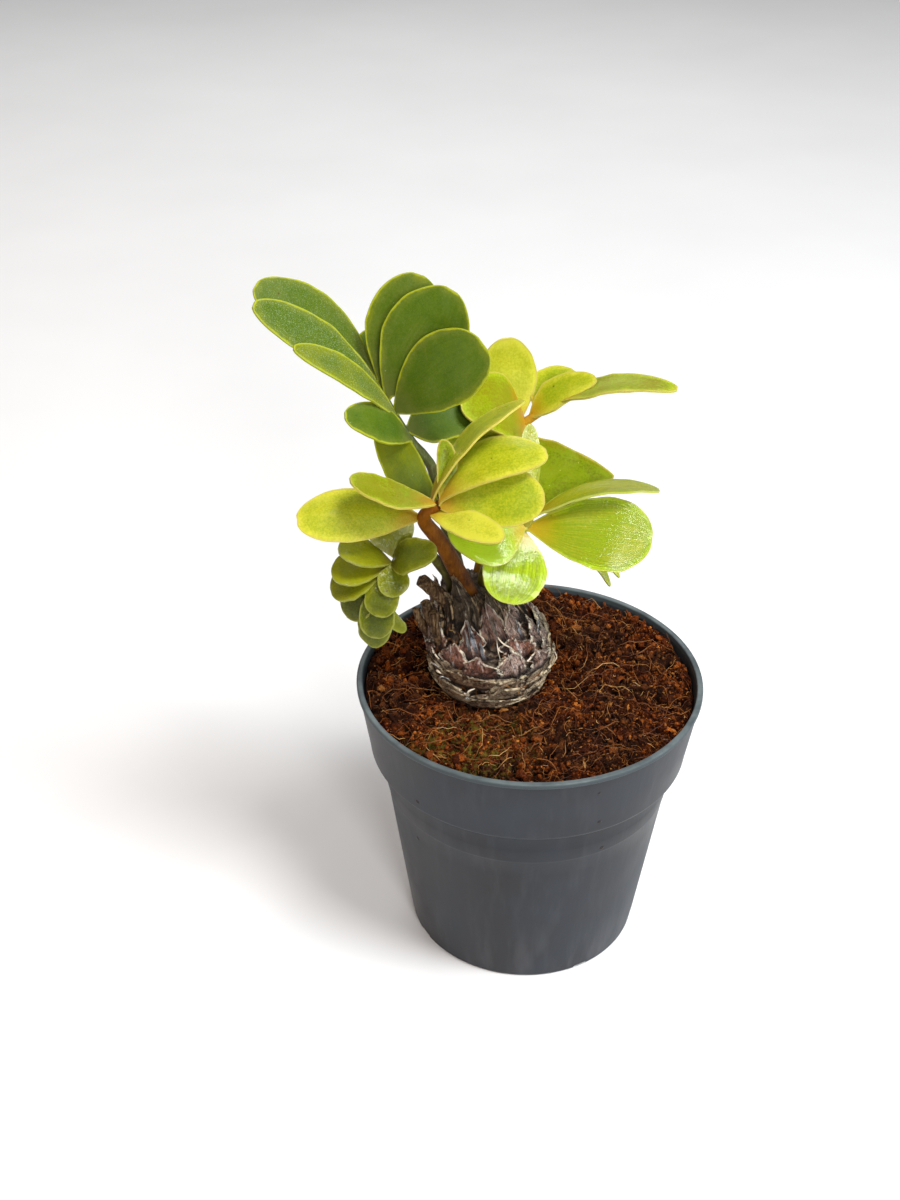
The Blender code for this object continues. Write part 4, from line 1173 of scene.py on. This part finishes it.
DROOPING_STALK = [
    (-23.5, 3.5, 112), (-23.5, 4, 118), (-24.5, 3.5, 123.5), (-27, 2, 128.5), (-30, -2, 134.5),
    (-35.5, -6, 136.5), (-40.5, -9, 135.5), (-44.5, -10, 131), (-47, -10, 124), (-48, -10, 117),
]
DROOPING_LEAFLETS = [
    (5.6, (-43, -2, 151), 13.5, (0.0, -0.8, 0.6), dict(age=0.45)),
    (6.0, (-55.5, -14, 143), 11.5, (-0.1, -0.3, 0.95), dict(arch=1.0, bow=1.0, age=0.25)),
    (6.4, (-57.6, -13, 134.5), 12, (-0.15, -0.4, 0.9), dict(arch=1.0, bow=1.0, age=0.35)),
    (6.6, (-57.9, -11.5, 127.6), 12.5, (-0.2, -0.5, 0.85), dict(arch=1.0, bow=1.0, age=0.5)),
    (6.8, (-54.2, -10, 119.3), 12, (-0.3, -0.7, 0.65), dict(arch=1.0, age=0.88)),
    (6.0, (-27.8, -16, 144.2), 10.5, (0, -0.6, 0.75), dict(arch=2.5, belly=0.42, taper=0.42, age=0.72)),
    (5.7, (-41.3, -15, 128.7), 9, (0.0, -0.84, 0.54), dict(arch=1.0, belly=0.55, age=0.66)),
    (6.4, (-44.3, -16, 122.5), 10, (-0.1, -0.84, 0.54), dict(arch=1.0, belly=0.6, age=0.7)),
    (6.9, (-45.4, -16, 115.3), 10.5, (-0.1, -0.85, 0.5), dict(arch=1.5, belly=0.62, age=0.82)),
    (7.4, (-45.9, -13.5, 110.3), 10, (0.0, -0.85, 0.5), dict(arch=1.0, taper=0.7, age=0.78)),
    (8.0, (-37.4, -9, 112.8), 4.6, (0.2, -0.85, 0.5), dict(age=0.6)),
]
OLIVE_AGES = (
    (0.2, (0.23, 0.235, 0.004)), (0.45, (0.155, 0.165, 0.003)), (0.7, (0.078, 0.094, 0.002)),
    (0.95, (0.036, 0.048, 0.002)),
)
frond(
    "drooping", DROOPING_STALK, (1.8, 0.7), DROOPING_LEAFLETS, 23,
    leaf_finish(
        "drooping_leaf", OLIVE_AGES, (0.24, 0.25, 0.04), (0.11, 0.09, 0.005), veins=0.05, gloss=0.22,
        shine=0.22, dimple=0.2, painted_sheen=0.0,
    ),
    stalk_finish("drooping_stalk", (0.06, 0.035, 0.015), (0.11, 0.11, 0.02), (0.25, 0.22, 0.1)),
)


# The right frond: bright lime and glossy, with a few broad leaflets that hang over the pot's right side,
# and two thin young ones that point down.

RIGHT_STALK = [
    (-14.5, 7, 112), (-14, 6.5, 122), (-10.5, 4, 134), (-5.5, 1, 140), (-2, -1, 145), (-1, -2, 150.5),
]
RIGHT_LEAFLETS = [
    (3.5, (-8, -14, 126), 19, (0.1, -0.9, 0.3), dict(arch=2.0, age=0.3)),
    # This leaflet's youngest age gives it the brightest colour: painted light, against the shade the front
    # leaflets cast on it.
    (3.8, (-25, -8, 145.5), 20, (0.0, -0.6, 0.75), dict(arch=1.0, belly=0.45, bow=-1.8, age=0.02)),
    (3.6, (33, -6, 142.5), 21.5, (0.1, -0.8, 0.6), dict(arch=2.0, belly=0.68, age=0.42)),
    (4.0, (35, 2, 153.5), 13, (0.0, 0.2, 0.98), dict(arch=5.0, age=0.62)),
    (4.5, (-1.5, 16, 167.5), 6, (0.1, -0.75, 0.6), dict(age=0.65)),
    (3.8, (23, 4, 120.5), 4.5, (0.3, -0.6, 0.7), dict(bow=-6.0, age=0.8)),
    (3.8, (26, 8, 121), 4, (0.3, -0.6, 0.7), dict(bow=-6.0, age=0.85)),
]
LIME_AGES = (
    (0.0, (0.38, 0.54, 0.02)), (0.16, (0.32, 0.43, 0.008)), (0.34, (0.18, 0.25, 0.002)),
    (0.65, (0.33, 0.335, 0.01)), (0.9, (0.08, 0.095, 0.005)),
)
frond(
    "right", RIGHT_STALK, (2.0, 0.9), RIGHT_LEAFLETS, 24,
    leaf_finish(
        "right_leaf", LIME_AGES, (0.38, 0.4, 0.05), (0.42, 0.25, 0.008), veins=0.06, gloss=0.15,
        shine=0.5, dimple=0.15, glow=0.12, painted_sheen=0.0, stripes=0.1, dots=(0.48, 0.6, 0.14),
    ),
    stalk_finish("right_stalk", (0.1, 0.06, 0.015), (0.33, 0.3, 0.04), (0.4, 0.36, 0.14)),
)


# The back frond: young and yellow, behind the others, with leaflets that fan out from an orange stalk.

BACK_STALK = [
    (-17, 12.5, 112), (-14, 16, 125.5), (-13, 21, 140), (-9.5, 25, 153), (-4, 26, 161.5),
    (3.5, 28, 166.5), (8.5, 29, 170),
]
BACK_LEAFLETS = [
    (3.8, (-8.0, 36, 185.5), 16.5, (0.1, -0.85, 0.5), dict(arch=-3.0, age=0.2)),
    (4.2, (-21.5, 12.5, 175), 21, (0.1, -0.6, 0.75), dict(arch=3.0, belly=0.34, bow=2.0, age=0.56)),
    (4.4, (18, 28, 176.2), 11, (-0.2, -0.4, 0.9), dict(arch=1.5, bow=-2.0, belly=0.4, age=0.3)),
    (5.2, (40.5, 20, 176.5), 15, (0.0, 0.05, 1.0), dict(arch=4.0, belly=0.45, age=0.52)),
    (4.6, (12.5, 40, 173), 13, (0.2, -0.3, 0.9), dict(bow=-2.0, age=0.4)),
    (2.8, (23.3, 13, 152.2), 22.5, (0.1, -0.75, 0.6), dict(arch=1.5, bow=3, belly=0.32, taper=0.9, age=0.8)),
    (3.6, (-25, 12, 163.5), 8, (0.0, -0.5, 0.85), dict(age=0.5)),
    (2.9, (-16, 20, 161.5), 10, (0.0, -0.8, 0.6), dict(age=0.5)),
]
frond(
    "back", BACK_STALK, (2.0, 0.9), BACK_LEAFLETS, 25,
    leaf_finish(
        "back_leaf", YOUNG_AGES, (0.44, 0.37, 0.07), (0.42, 0.19, 0.004), gloss=0.36, shine=0.1,
        dimple=0.1, fuzz=0.03, glow=0.35, painted_sheen=0.1, mottle=0.06, dots=(0.5, 0.5, 0.09),
    ),
    stalk_finish("back_stalk", (0.09, 0.036, 0.005), (0.4, 0.21, 0.008), (0.42, 0.28, 0.06)),
)


# The table and the light: a pale matt floor, a pale surround, and soft light from above, in front, behind
# and both sides, as in a bright room.

FLOOR_RADIUS = 3000.0
PLANT_MIDDLE = Vector((0, 0, 0.12))
ROOM_LIGHT = 0.26
CAMERA_PLACE = (-0.0242, -0.4035, 0.3796)
CAMERA_DOWN = math.radians(32.97)
CAMERA_ROLL = math.radians(0.18)
FOCAL_LENGTH = 48.93


def pale_floor():
    made = Finish("pale_floor", 0.7, 0.3)
    made.tint = made.grain(6.0).ramp((0.3, (0.8, 0.8, 0.8)), (0.7, (0.84, 0.84, 0.84)))
    bm = bmesh.new()
    bmesh.ops.create_circle(bm, cap_ends=True, segments=96, radius=FLOOR_RADIUS)
    piece_from(bm, "floor", made.done())


def soft_box(name, place, size, power, tint=(1.0, 1.0, 1.0)):
    """A square lamp that faces the plant."""
    light = bpy.data.lights.new(name, "AREA")
    light.shape = "SQUARE"
    light.size = size
    light.energy = power
    light.color = tint
    lamp = placed(name, light)
    lamp.location = place
    lamp.rotation_euler = (PLANT_MIDDLE - Vector(place)).to_track_quat("-Z", "Y").to_euler()


pale_floor()
soft_box("key", (0.38, -0.34, 1.15), 0.4, 15.0)
soft_box("front_fill", (0.28, -1.12, 0.66), 0.28, 7.0)
soft_box("right_fill", (1.15, -0.4, 0.55), 0.6, 6.0, (0.76, 0.89, 1.0))
soft_box("left_fill", (-1.05, -0.45, 0.6), 0.8, 3.0, (1.0, 0.62, 0.38))
soft_box("back_light", (-0.1, 1.0, 1.0), 0.8, 5.0)

world = bpy.data.worlds.new("pale_room")
world.use_nodes = True
background = world.node_tree.nodes["Background"]
background.inputs["Color"].default_value = (1.0, 1.0, 1.0, 1.0)
background.inputs["Strength"].default_value = ROOM_LIGHT
bpy.context.scene.world = world
bpy.context.scene.view_settings.view_transform = "Standard"

lens = bpy.data.cameras.new("camera")
lens.sensor_width = 36.0
lens.lens = FOCAL_LENGTH
lens.clip_start = 0.01
camera = placed("camera", lens)
camera.matrix_world = (
    Matrix.Translation(CAMERA_PLACE)
    @ Matrix.Rotation(math.pi / 2 - CAMERA_DOWN, 4, "X")
    @ Matrix.Rotation(CAMERA_ROLL, 4, "Z")
)
bpy.context.scene.camera = camera
